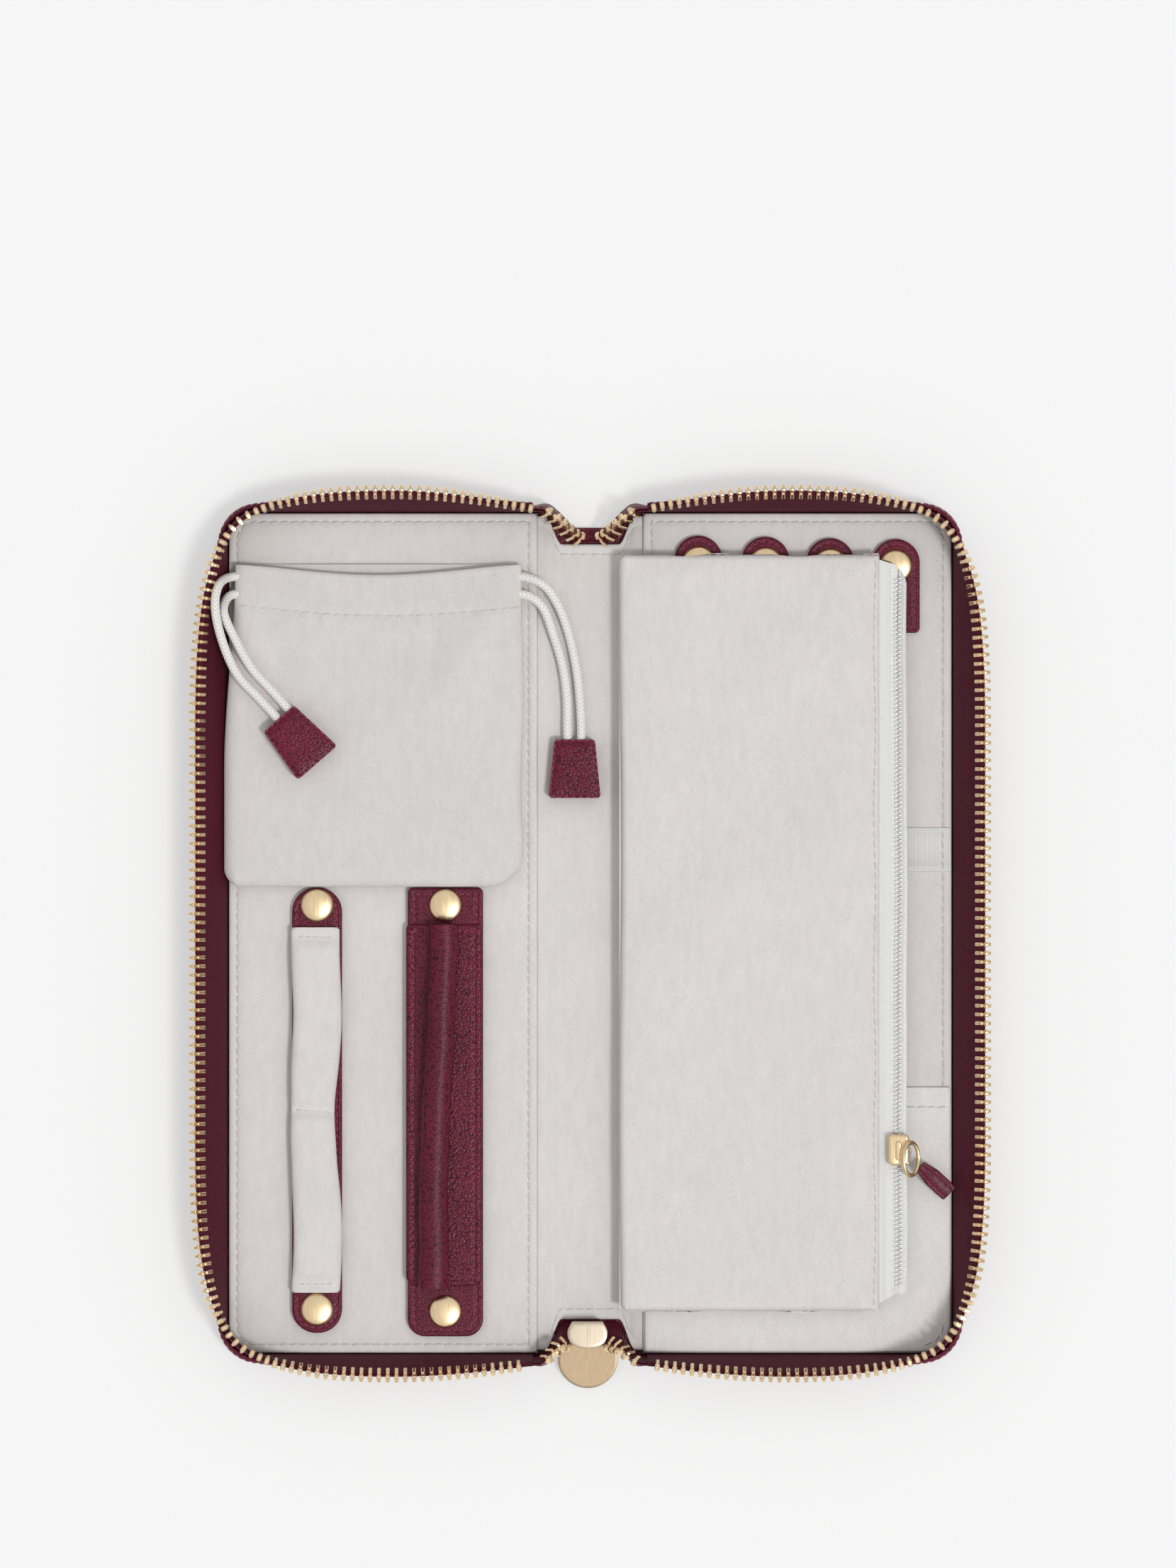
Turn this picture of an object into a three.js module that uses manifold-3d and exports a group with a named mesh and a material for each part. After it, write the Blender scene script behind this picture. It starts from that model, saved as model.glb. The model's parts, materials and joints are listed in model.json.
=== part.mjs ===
// A zip-round jewelry roll in burgundy leather, lying open flat, seen as it opens on a table.
// Two stiffened halves fold up on a soft spine. A leather gusset and a zip tape stand round each half and
// carry one row of zip teeth. The left half holds a drawstring pouch, a ring bar and an earring bar; the
// right half holds four necklace tabs, an elastic band and a slip pocket under a zip pouch that turns like
// a page. Millimetres, +Z up from the table, +Y to the roll's head, origin on the table under the spine's centre.
import * as THREE from "three";
import { mergeVertices } from "three/addons/utils/BufferGeometryUtils.js";
import Module from "manifold-3d";

const wasm = await Module();
wasm.setup();

// Running gap between pieces that move or that meet on a curve
const clearance = 0.3;

// Layers of the case, from the table up
const coverThickness = 1.2;
const boardThickness = 1.8;
const liningThickness = 1.2;
const spineLiningThickness = 1.8;
const coverTop = coverThickness;
const boardTop = coverTop + boardThickness;
const liningTop = boardTop + liningThickness;
const spineTop = coverTop + spineLiningThickness;

// Plan of the case, each half measured from the spine's centre line
const spineHalfWidth = 15.3;
const panelWidth = 90.2;
const footOuter = spineHalfWidth + panelWidth;
const footHalfLength = 122.5;
const footRadius = 8.5;
const liningGap = 0.4;
const wallStart = spineHalfWidth + 1.3;

// Wall that stands round each half: zip tape inside, leather gusset outside, teeth on top
const wallHeight = 18;
const tapeThickness = 0.9;
const tapeTop = 15;
const gussetThickness = 1.2;
const gussetTop = 10.5;
const gussetInside = tapeThickness + clearance;
const gussetOutside = gussetInside + gussetThickness;
const flarePower = 1.3;
const wallSpacing = 12;
const cornerSteps = 9;

// Tooth line at the top of the wall: a wide-cornered loop that leans out over the foot by these lengths
const sideLean = 10.5;
const endLean = 6.5;
const headStartLean = 0.1;
const footStartLean = 2.3;
const cornerReachAcross = 58.3;
const cornerReachAlong = 69;
const cornerPull = 50;
const cornerPullShare = 0.88;
const tipOuter = footOuter + sideLean;
const tipHeadHalf = footHalfLength + endLean;
const tipHeadX = tipOuter - cornerReachAcross;
const tipSideHalf = tipHeadHalf - cornerReachAlong;
const tipStartHead = footHalfLength + headStartLean;
const tipStartFoot = footHalfLength + footStartLean;

// Zip teeth
const toothPitch = 2.54;
const toothRise = 0.32;
const toothFall = 0.85;
const beadHeight = 1;
const toothInside = 0.6;
const toothOutside = 1.5;
const toothTipOffset = 0.4;

// Spine ends, notched where the zip crosses the fold
const spineEndHalf = spineHalfWidth - 2.3;
const spineShoulder = footHalfLength + gussetOutside - 0.7;
const coverNotchHeadDepth = 6.2;
const coverNotchFootDepth = 7.4;
const coverNotchHeadHalf = 4;
const coverNotchFootHalf = 10;
const spineCoverNotchHead = spineShoulder - coverNotchHeadDepth;
const spineCoverNotchFoot = spineShoulder - coverNotchFootDepth;
const liningShoulder = footHalfLength - 2.3;
const liningNotchHeadDepth = 7;
const liningNotchFootDepth = 7.8;
const liningNotchHalf = 8.3;
const liningNotchHead = liningShoulder - liningNotchHeadDepth;
const liningNotchFoot = liningShoulder - liningNotchFootDepth;
const bandThickness = 1;
const crestTooth = 2.6;
const bandMiddleHead = spineTop + 0.6;
const bandMiddleFoot = 8;
const bandSideTop = tapeTop - 1.6;

// Main zip slider and its round puller
const sliderCentreX = -0.8;
const sliderHalfWidth = 5.85;
const sliderLength = 7.6;
const sliderNose = 4.2;
const sliderInner = liningNotchFoot + 0.5;
const sliderOuter = sliderInner + sliderLength;
const sliderPlate = 1;
const sliderLowerBottom = 5;
const sliderHeight = 5;
const sliderUpperTop = sliderLowerBottom + sliderHeight;
const sliderPostRadius = 1.6;
const pullerRadius = 8.7;
const pullerThickness = 1.4;
const pullerX = -0.7;
const pullerPivotY = -(sliderOuter - 1.3);
const pullerCentre = 4.8 - pullerPivotY;
const pullerPivotZ = sliderLowerBottom - 1;
const pullerTilt = THREE.MathUtils.degToRad(11.3);

// Press studs
const capRadius = 4.8;
const capHeight = 1.8;
const studRadius = 4;
const barStudHeight = 0.8;
const tabStudHeight = 0.6;

// Drawstring pouch and its cords
const pouchLength = 93.7;
const pouchTop = footHalfLength - 15.3;
const pouchBottom = pouchTop - pouchLength;
const pouchRight = -(spineHalfWidth + 4.4);
const pouchLeftAtMouth = -(footOuter - 2.3);
const pouchLeftBelow = -(footOuter + 0.9);
const pouchSeam = liningTop + 3.3;
const pouchDepthBelow = 3;
const pouchCrown = 3;
const pouchFold = 0.35;
const mouthDepth = 3.6;
const mouthInset = 2;
const mouthGap = 1.2;
const cordDiameter = 2.6;
const cordEndThickness = 3.7;
const cordEndLength = 17.6;
const cordEndHalfAtCords = 6.3;
const cordEndHalf = 8;

// Ring bar and earring bar
const strapThickness = 1.6;
const barBottom = -(footHalfLength - 5.3);
const barTop = pouchBottom - clearance;
const barStudUpper = barTop - 5.1;
const ringBarX = -(footOuter - 26.1);
const ringBarWidth = 14.5;
const ringBarBottom = barBottom + 1;
const ringBarLowerCap = ringBarBottom + 6.8;
const sleeveTop = barStudUpper - 6.4;
const sleeveBottom = ringBarLowerCap + 5;
const sleeveHeight = 3;
const sleeveInset = 0.4;
const sleeveWave = 0.35;
const earringBarX = -(spineHalfWidth + 26.8);
const earringBarWidth = 21.9;
const earringBarLowerCap = barBottom + 7.2;
const panelLeft = earringBarX - 11.4;
const panelRight = earringBarX + 10.5;
const panelTop = barStudUpper - 5.6;
const panelBottom = earringBarLowerCap + 7.5;
const panelThickness = 1.2;
const rollTopX = earringBarX - 0.4;
const rollBottomX = earringBarX - 3.3;
const rollWidth = 8;
const rollSpread = 0.7;
const rollOverhang = 0.6;
const rollHeight = 6.2;

// Necklace tabs
const tabShares = [0.1796, 0.3958, 0.6042, 0.816];
const tabCentres = tabShares.map((share) => spineHalfWidth + share * panelWidth);
const tabHeads = [7, 7.3, 7.7, 8].map((inset) => footHalfLength - inset);
const tabWidth = 13.8;
const tabLength = 27.2;
const tabThickness = 1.4;
const tabCapInset = 7.7;

// Elastic band and slip pocket
const bandTop = 30.7;
const bandWidth = 12.9;
const bandBottom = bandTop - bandWidth;
const bandHeight = 0.8;
const pocketTop = -44.8;
const pocketHeight = 0.7;
const hemDepth = 6;
const hemHeight = 0.4;

// Zip pouch that turns like a page, with its own nylon zip along the free edge
const pageLeft = spineHalfWidth - 6.8;
const pageWidth = panelWidth - 14.7;
const pageRight = pageLeft + pageWidth;
const pageHead = footHalfLength - 12.6;
const pageFoot = -(footHalfLength - 12.8);
const pageUnderside = liningTop + tabStudHeight + tabThickness + capHeight + 2 * clearance;
const pageSeam = pageUnderside + 1.2;
const pageCrown = 3;
const bindingX = pageLeft + 3.3;
const bindingZ = pageUnderside - 2;
const bindingHalf = pageHead - 0.9;
const bindingFoot = 0.9;
const bindingWall = 0.6;
const upstandThickness = 0.8;
const nylonTapeRight = pageRight + 8.2;
const nylonTapeThickness = 0.8;
const coilWidth = 2.3;
const coilLeft = pageRight + 4.3;
const coilRight = coilLeft + coilWidth;
const coilHeight = 1.4;
const pageSliderY = pageFoot + 46.9;
const pageSliderLength = 9;
const pageSliderHalf = 3;
const pageSliderHeight = 3.1;
const ringRadius = 4.2;
const ringWire = 0.65;
const ringWidthShare = 0.76;
const ringLengthShare = 1.14;
const ringX = nylonTapeRight + 0.8;
const ringY = pageSliderY - 2.6;
const pullStart = new THREE.Vector3(ringX + 3.6, ringY - 3, 10.6);
const pullEnd = new THREE.Vector3(ringX + 11.3, ringY - 10.1, 8.1);
const pullWidth = 5.4;
const pullThickness = 2.4;

const finishes = {
  leather: { color: 0x5c1b36, roughness: 0.6, metalness: 0 },
  tape: { color: 0x541833, roughness: 0.85, metalness: 0 },
  velvet: { color: 0xd6d4d2, roughness: 0.95, metalness: 0 },
  board: { color: 0x9b9183, roughness: 0.9, metalness: 0 },
  roseGold: { color: 0xe0b080, roughness: 0.25, metalness: 1 },
  satinGold: { color: 0xd9b777, roughness: 0.35, metalness: 1 },
  paleGold: { color: 0xefdfbe, roughness: 0.3, metalness: 1 },
  cord: { color: 0xe9e8e4, roughness: 0.8, metalness: 0 },
  nylon: { color: 0xe0e0de, roughness: 0.6, metalness: 0 },
};

const group = new THREE.Group();

// Adds one named piece to the roll.
function add(name, finish, geometry) {
  const mesh = new THREE.Mesh(geometry, new THREE.MeshStandardMaterial(finishes[finish]));
  mesh.name = name;
  group.add(mesh);
}

// A closed skin from points and triangles, turned so that its faces point outwards.
function skin(points, faces) {
  let volume = 0;
  const [a, b, c] = [new THREE.Vector3(), new THREE.Vector3(), new THREE.Vector3()];
  for (let i = 0; i < faces.length; i += 3) {
    a.copy(points[faces[i]]);
    b.copy(points[faces[i + 1]]);
    c.copy(points[faces[i + 2]]);
    volume += a.dot(b.cross(c));
  }
  const geometry = new THREE.BufferGeometry().setFromPoints(points);
  geometry.setIndex(volume < 0 ? faces.slice().reverse() : faces);
  return geometry;
}

// A skin through rings of equally many points, with each end closed straight across its ring.
function loft(rings) {
  const count = rings[0].length;
  const faces = [];
  for (let i = 0; i + 1 < rings.length; i++) {
    for (let k = 0; k < count; k++) {
      const [p, q] = [i * count + k, i * count + ((k + 1) % count)];
      faces.push(p, q, q + count, p, q + count, p + count);
    }
  }
  const last = (rings.length - 1) * count;
  for (let low = 0, high = count - 1; high - low > 1; low++, high--) {
    faces.push(high, low + 1, low, last + low, last + low + 1, last + high);
    if (low + 1 < high - 1) {
      faces.push(high, high - 1, low + 1, last + low + 1, last + high - 1, last + high);
    }
  }
  return skin(rings.flat(), faces);
}

// A soft closed form over a grid: its upper and lower faces meet at the seam round the edge.
// place(u, v) gives the plan point, over(u, v) and under(u, v) the two heights.
function pillow(columns, rows, place, over, under) {
  const points = [];
  const faces = [];
  const width = columns + 1;
  for (const height of [over, under]) {
    for (let j = 0; j <= rows; j++) {
      for (let i = 0; i <= columns; i++) {
        const [u, v] = [i / columns, j / rows];
        const [x, y] = place(u, v);
        points.push(new THREE.Vector3(x, y, height(u, v)));
      }
    }
  }
  const lower = width * (rows + 1);
  for (let j = 0; j < rows; j++) {
    for (let i = 0; i < columns; i++) {
      const a = j * width + i;
      const [b, c, d] = [a + 1, a + width + 1, a + width];
      faces.push(a, b, c, a, c, d);
      faces.push(lower + a, lower + c, lower + b, lower + a, lower + d, lower + c);
    }
  }
  const geometry = mergeVertices(skin(points, faces), 1e-4);
  return geometry;
}

// A flat plate of a plan outline, between two heights.
function slab(outline, bottom, top, segments = 6) {
  const settings = { depth: top - bottom, bevelEnabled: false, curveSegments: segments };
  return new THREE.ExtrudeGeometry(outline, settings).translate(0, 0, bottom);
}

// A rectangle with its own radius at each corner: low left, low right, high right, high left.
function roundedRectangle(left, right, low, high, radii) {
  const [ll, lr, hr, hl] = Array.isArray(radii) ? radii : [radii, radii, radii, radii];
  const shape = new THREE.Shape();
  const quarter = Math.PI / 2;
  shape.moveTo(left + ll, low);
  shape.lineTo(right - lr, low);
  if (lr > 0) shape.absarc(right - lr, low + lr, lr, -quarter, 0);
  shape.lineTo(right, high - hr);
  if (hr > 0) shape.absarc(right - hr, high - hr, hr, 0, quarter);
  shape.lineTo(left + hl, high);
  if (hl > 0) shape.absarc(left + hl, high - hl, hl, quarter, 2 * quarter);
  shape.lineTo(left, low + ll);
  if (ll > 0) shape.absarc(left + ll, low + ll, ll, 2 * quarter, 3 * quarter);
  return shape;
}

// A rectangle on one half, rounded only at its two outer corners.
function halfOutline(side, inner, outer, halfLength, radius) {
  const [left, right] = side > 0 ? [inner, outer] : [-outer, -inner];
  const radii = side > 0 ? [0, radius, radius, 0] : [radius, 0, 0, radius];
  return roundedRectangle(left, right, -halfLength, halfLength, radii);
}

function solidOf(geometry) {
  const bare = (geometry.index ? geometry.toNonIndexed() : geometry.clone());
  bare.deleteAttribute("normal");
  bare.deleteAttribute("uv");
  const merged = mergeVertices(bare, 1e-4);
  return new wasm.Manifold(
    new wasm.Mesh({
      numProp: 3,
      vertProperties: new Float32Array(merged.attributes.position.array),
      triVerts: new Uint32Array(merged.index.array),
    }),
  );
}

function geometryOf(solid) {
  const made = solid.getMesh();
  const geometry = new THREE.BufferGeometry();
  geometry.setAttribute("position", new THREE.BufferAttribute(new Float32Array(made.vertProperties), 3));
  geometry.setIndex(new THREE.BufferAttribute(new Uint32Array(made.triVerts), 1));
  return geometry;
}

function join(...pieces) {
  return geometryOf(pieces.map(solidOf).reduce((whole, piece) => whole.add(piece)));
}

function cut(body, ...tools) {
  return geometryOf(tools.map(solidOf).reduce((whole, tool) => whole.subtract(tool), solidOf(body)));
}

// Walls

// The tooth line of one half, from the spine at the head, round the outer side, to the spine at the foot.
function toothLine() {
  const at = (x, y) => new THREE.Vector2(x, y);
  const reach = tipHeadHalf - tipSideHalf;
  const pull = (cornerPull * reach) / (tipOuter - tipHeadX);
  const head = at(tipHeadX, tipHeadHalf);
  const foot = at(tipHeadX, -tipHeadHalf);
  const run = tipHeadX - wallStart;
  const line = new THREE.CurvePath();
  line.add(
    new THREE.CubicBezierCurve(
      at(wallStart, tipStartHead),
      at(wallStart + run / 3, tipStartHead + (tipHeadHalf - tipStartHead) * 0.6),
      at(tipHeadX - run / 3, tipHeadHalf),
      head,
    ),
  );
  line.add(
    new THREE.CubicBezierCurve(
      head,
      at(tipHeadX + cornerPull, tipHeadHalf),
      at(tipOuter, tipSideHalf + pull * cornerPullShare),
      at(tipOuter, tipSideHalf),
    ),
  );
  line.add(new THREE.LineCurve(at(tipOuter, tipSideHalf), at(tipOuter, -tipSideHalf)));
  line.add(
    new THREE.CubicBezierCurve(
      at(tipOuter, -tipSideHalf),
      at(tipOuter, -tipSideHalf - pull * cornerPullShare),
      at(tipHeadX + cornerPull, -tipHeadHalf),
      foot,
    ),
  );
  line.add(
    new THREE.CubicBezierCurve(
      foot,
      at(tipHeadX - run / 3, -tipHeadHalf),
      at(wallStart + run / 3, -tipStartFoot - (tipHeadHalf - tipStartFoot) * 0.6),
      at(wallStart, -tipStartFoot),
    ),
  );
  return line;
}

const teethRun = toothLine();
const teethLength = teethRun.getLength();

// How far the wall has flared from its foot to the tooth line at a height.
function flare(height) {
  const share = (height - liningTop) / (wallHeight - liningTop);
  return Math.max(0, share) ** flarePower;
}

// The nearest centre of the foot's rounding to a place of the tooth line, and the way outwards from it.
function footFrame(tip) {
  const cornerX = footOuter - footRadius;
  const cornerY = footHalfLength - footRadius;
  const centre = new THREE.Vector2(
    Math.min(tip.x, cornerX),
    THREE.MathUtils.clamp(tip.y, -cornerY, cornerY),
  );
  return [centre, tip.clone().sub(centre).normalize()];
}

// A point of the wall below one place of the tooth line, at a height and an offset outwards.
function wallPoint(side, tip, height, offset) {
  const [centre, outward] = footFrame(tip);
  const plan = centre.addScaledVector(outward, footRadius).lerp(tip, flare(height));
  plan.addScaledVector(outward, offset);
  return new THREE.Vector3(side * plan.x, plan.y, height);
}

// Places along the tooth line for the wall's rings: even, and closer where the foot turns its corners.
function wallPlaces() {
  const fine = 1200;
  const places = [teethRun.getPoint(0)];
  let [travelled, before] = [0, footFrame(places[0])[1].angle()];
  for (let i = 1; i < fine; i++) {
    const tip = teethRun.getPoint(i / fine);
    const now = footFrame(tip)[1].angle();
    const turned = Math.abs(Math.atan2(Math.sin(now - before), Math.cos(now - before)));
    travelled += teethLength / fine / wallSpacing + (turned * cornerSteps) / (Math.PI / 2);
    before = now;
    if (travelled >= 1) {
      places.push(tip);
      travelled -= 1;
    }
  }
  if (travelled < 0.5) places.pop();
  return [...places, teethRun.getPoint(1)];
}

// A wall round one half: a strip between two offsets through a list of heights. The second face is split into
// triangles along the other diagonal, so two walls whose facing sides are alike in that lie evenly apart.
function wall(side, heights, firstOffset, secondOffset) {
  const rings = [];
  for (const tip of wallPlaces()) {
    const up = heights.map((height) => wallPoint(side, tip, height, firstOffset));
    const down = heights.map((height) => wallPoint(side, tip, height, secondOffset)).reverse();
    rings.push([...up, ...down]);
  }
  return loft(rings);
}

// One row of zip teeth along a run: a low bead, risen into a tooth once in each pitch.
// section(distance, tall) gives the ring of points at a distance along the run.
function teeth(length, phase, section) {
  const count = Math.floor(length / toothPitch - phase);
  const rings = [section(0, false)];
  for (let i = 0; i < count; i++) {
    const start = (i + phase) * toothPitch;
    if (start > 0) rings.push(section(start, false));
    rings.push(section(start + toothRise * toothPitch, true));
    rings.push(section(start + toothFall * toothPitch, true));
  }
  rings.push(section(length, false));
  return loft(rings);
}

function chain(side) {
  const phase = side > 0 ? 0.5 : 0;
  return teeth(teethLength, phase, (distance, tall) => {
    const tip = teethRun.getPoint(distance / teethLength);
    const top = tall ? wallHeight : tapeTop + beadHeight;
    return [
      wallPoint(side, tip, tapeTop, -toothInside),
      wallPoint(side, tip, tapeTop, toothOutside),
      wallPoint(side, tip, top, toothTipOffset),
    ];
  });
}

function addHalf(name, side) {
  const coverOutline = halfOutline(
    side,
    spineHalfWidth,
    footOuter + gussetOutside,
    footHalfLength + gussetOutside,
    footRadius + gussetOutside,
  );
  const insideOuter = footOuter - liningGap;
  const insideHalf = footHalfLength - liningGap;
  const insideRadius = footRadius - liningGap;
  const boardOutline = halfOutline(side, spineHalfWidth, insideOuter, insideHalf, insideRadius);
  const liningInner = spineHalfWidth + clearance;
  const liningOutline = halfOutline(side, liningInner, insideOuter, insideHalf, insideRadius);
  add(name + "_cover", "leather", slab(coverOutline, 0, coverTop));
  add(name + "_board", "board", slab(boardOutline, coverTop, boardTop));
  add(name + "_lining", "velvet", slab(liningOutline, boardTop, liningTop));
  const gussetHeights = [coverTop, liningTop, gussetTop];
  add(name + "_gusset", "leather", wall(side, gussetHeights, gussetOutside, gussetInside));
  add(name + "_zip_tape", "tape", wall(side, [...gussetHeights, tapeTop], 0, tapeThickness));
  add(name + "_zip_chain", "roseGold", chain(side));
}

// Spine

// The spine's outline: straight sides, and a notch with sloping shoulders at each end.
function spineOutline(half, shoulder, notchHead, headHalf, notchFoot, footHalf) {
  const shape = new THREE.Shape();
  const slope = (shoulderHalf, notchHalf) => (shoulderHalf + notchHalf) / 2;
  shape.moveTo(half, -shoulder);
  shape.lineTo(half, shoulder);
  shape.lineTo(spineEndHalf, shoulder);
  const headSlope = slope(spineEndHalf, headHalf);
  shape.bezierCurveTo(headSlope, shoulder, headSlope, notchHead, headHalf, notchHead);
  shape.lineTo(-headHalf, notchHead);
  shape.bezierCurveTo(-headSlope, notchHead, -headSlope, shoulder, -spineEndHalf, shoulder);
  shape.lineTo(-half, shoulder);
  shape.lineTo(-half, -shoulder);
  shape.lineTo(-spineEndHalf, -shoulder);
  const footSlope = slope(spineEndHalf, footHalf);
  shape.bezierCurveTo(-footSlope, -shoulder, -footSlope, -notchFoot, -footHalf, -notchFoot);
  shape.lineTo(footHalf, -notchFoot);
  shape.bezierCurveTo(footSlope, -notchFoot, footSlope, -shoulder, spineEndHalf, -shoulder);
  return shape;
}

// A leather band that closes one end of the spine and carries the zip over it.
// Each of foot and crest gives [y, z] at a place across the spine.
function endBand(foot, crest, places, headwards) {
  const thickness = headwards * bandThickness;
  return loft(
    places.map((x) => {
      const [footY, footZ] = foot(x);
      const [crestY, crestZ] = crest(x);
      return [
        new THREE.Vector3(x, footY, footZ),
        new THREE.Vector3(x, footY + thickness, footZ),
        new THREE.Vector3(x, crestY + thickness, crestZ),
        new THREE.Vector3(x, crestY, crestZ),
      ];
    }),
  );
}

// Places across the spine from one side to the other.
function across(from, to, steps) {
  return Array.from({ length: steps + 1 }, (_, i) => THREE.MathUtils.lerp(from, to, i / steps));
}

function headFoot(x) {
  const rise = THREE.MathUtils.smoothstep(Math.abs(x), 3.5, 12);
  return [THREE.MathUtils.lerp(spineCoverNotchHead - 1, spineShoulder - 3, rise), coverTop];
}

function headCrest(x) {
  const rise = THREE.MathUtils.smoothstep(Math.abs(x), 2.5, spineEndHalf + 1);
  return [
    THREE.MathUtils.lerp(liningNotchHead + 0.6, tipStartHead - 1.7, rise),
    THREE.MathUtils.lerp(bandMiddleHead, bandSideTop, rise),
  ];
}

function footFoot(x) {
  const rise = THREE.MathUtils.smoothstep(Math.abs(x), 6, 12.5);
  return [-THREE.MathUtils.lerp(spineCoverNotchFoot - 2.8, spineShoulder - 3.6, rise), coverTop];
}

function footCrest(x) {
  const away = Math.abs(x - sliderCentreX);
  if (away < sliderHalfWidth + clearance) return [-sliderInner - 3.3, sliderLowerBottom - clearance];
  const rise = THREE.MathUtils.smoothstep(away, sliderHalfWidth, spineEndHalf + 1);
  return [
    -THREE.MathUtils.lerp(sliderOuter - 1.9, tipStartFoot - 3.7, rise),
    THREE.MathUtils.lerp(bandMiddleFoot, bandSideTop, rise),
  ];
}

// A row of teeth along the crest of an end band, from one place across the spine to another.
function crestTeeth(crest, from, to, headwards, plainHalf) {
  const steps = 40;
  const places = across(from, to, steps).map((x) => new THREE.Vector3(x, ...crest(x)));
  const run = new THREE.CatmullRomCurve3(places, false, "catmullrom", 0.5);
  const length = run.getLength();
  return teeth(length, 0.25, (distance, tall) => {
    const base = run.getPointAt(Math.min(1, distance / length));
    const risen = tall && Math.abs(base.x) > plainHalf;
    const seat = base.z + clearance;
    return [
      new THREE.Vector3(base.x, base.y - headwards * 0.5, seat),
      new THREE.Vector3(base.x, base.y + headwards * 1.1, seat),
      new THREE.Vector3(base.x, base.y, seat + (risen ? crestTooth : beadHeight)),
    ];
  });
}

function shieldPlate(bottom) {
  const shape = new THREE.Shape();
  const [x, half] = [sliderCentreX, sliderHalfWidth];
  const widest = -sliderOuter + sliderNose;
  shape.moveTo(x - half + 1.4, -sliderInner);
  shape.quadraticCurveTo(x - half, widest + 2, x - half, widest);
  shape.bezierCurveTo(x - half, -sliderOuter + 1.2, x - 3, -sliderOuter, x, -sliderOuter);
  shape.bezierCurveTo(x + 3, -sliderOuter, x + half, -sliderOuter + 1.2, x + half, widest);
  shape.quadraticCurveTo(x + half, widest + 2, x + half - 1.4, -sliderInner);
  return slab(shape, bottom, bottom + sliderPlate, 4);
}

function slider() {
  const postHeight = sliderHeight - sliderPlate;
  const post = new THREE.CylinderGeometry(sliderPostRadius, sliderPostRadius, postHeight, 8);
  post.rotateX(Math.PI / 2);
  post.translate(sliderCentreX, -sliderInner - 2.6, (sliderUpperTop + sliderLowerBottom) / 2);
  return join(shieldPlate(sliderLowerBottom), post, shieldPlate(sliderUpperTop - sliderPlate));
}

// The round puller, cut straight where it hangs on the slider and tilted down to the table.
function puller() {
  const shape = new THREE.Shape();
  const chord = pullerCentre + pullerPivotY - 0.2;
  const open = Math.asin(chord / pullerRadius);
  shape.absarc(0, 0, pullerRadius, open, -Math.PI - open, true);
  const disc = slab(shape, -pullerThickness / 2, pullerThickness / 2, 14);
  disc.translate(pullerX, -pullerCentre - pullerPivotY, 0);
  disc.rotateX(pullerTilt);
  return disc.translate(0, pullerPivotY, pullerPivotZ);
}

function addSpine() {
  const cover = spineOutline(
    spineHalfWidth,
    spineShoulder,
    spineCoverNotchHead,
    coverNotchHeadHalf,
    spineCoverNotchFoot,
    coverNotchFootHalf,
  );
  const lining = spineOutline(
    spineHalfWidth,
    liningShoulder,
    liningNotchHead,
    liningNotchHalf,
    liningNotchFoot,
    liningNotchHalf + 0.2,
  );
  const upstandLeft = bindingX + clearance;
  const upstand = roundedRectangle(
    upstandLeft,
    upstandLeft + upstandThickness,
    -bindingHalf + 1,
    bindingHalf - 1,
    0,
  );
  add("spine_cover", "leather", slab(cover, 0, coverTop));
  add(
    "spine_lining",
    "velvet",
    join(slab(lining, coverTop, spineTop), slab(upstand, spineTop - 0.5, bindingZ - clearance)),
  );
  const headPlaces = across(-spineEndHalf, spineEndHalf, 16);
  add("spine_end_head", "leather", endBand(headFoot, headCrest, headPlaces, 1));
  const [left, right] = [-1, 1].map((s) => sliderCentreX + s * (sliderHalfWidth + clearance));
  const footPlaces = [
    ...across(-spineEndHalf, left - 0.1, 4),
    ...across(left + 0.1, right - 0.1, 4),
    ...across(right + 0.1, spineEndHalf, 4),
  ];
  add("spine_end_foot", "leather", endBand(footFoot, footCrest, footPlaces, -1));
  add("zip_end_head", "roseGold", crestTeeth(headCrest, -spineEndHalf, spineEndHalf, 1, 3));
  add("zip_end_foot_left", "roseGold", crestTeeth(footCrest, -spineEndHalf, left - 0.2, -1, 0));
  add("zip_end_foot_right", "roseGold", crestTeeth(footCrest, right + 0.2, spineEndHalf, -1, 0));
  add("zip_slider", "paleGold", slider());
  add("zip_pull", "roseGold", puller());
}

// Left half

// A press stud cap, domed, standing on a height.
function cap(x, y, bottom) {
  const profile = [
    [0, 0],
    [capRadius, 0],
    [capRadius, capHeight * 0.4],
    [capRadius * 0.7, capHeight * 0.85],
    [0, capHeight],
  ].map(([r, h]) => new THREE.Vector2(r, h));
  return new THREE.LatheGeometry(profile, 16).rotateX(Math.PI / 2).translate(x, y, bottom);
}

function stud(x, y, height) {
  const geometry = new THREE.CylinderGeometry(studRadius, studRadius, height, 12);
  return geometry.rotateX(Math.PI / 2).translate(x, y, liningTop + height / 2);
}

// A soft tube with a flat underside between two places along Y, through rings at given shares of its length.
function softRun(shares, plan, height, bottom, sides) {
  return loft(
    shares.map((share) => {
      const [x, y, halfWidth] = plan(share);
      return Array.from({ length: sides }, (_, k) => {
        const turn = (Math.PI * k) / (sides - 1);
        return new THREE.Vector3(
          x + halfWidth * Math.cos(turn),
          y,
          bottom + height * Math.sin(turn) ** 0.8,
        );
      });
    }),
  );
}

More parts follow.
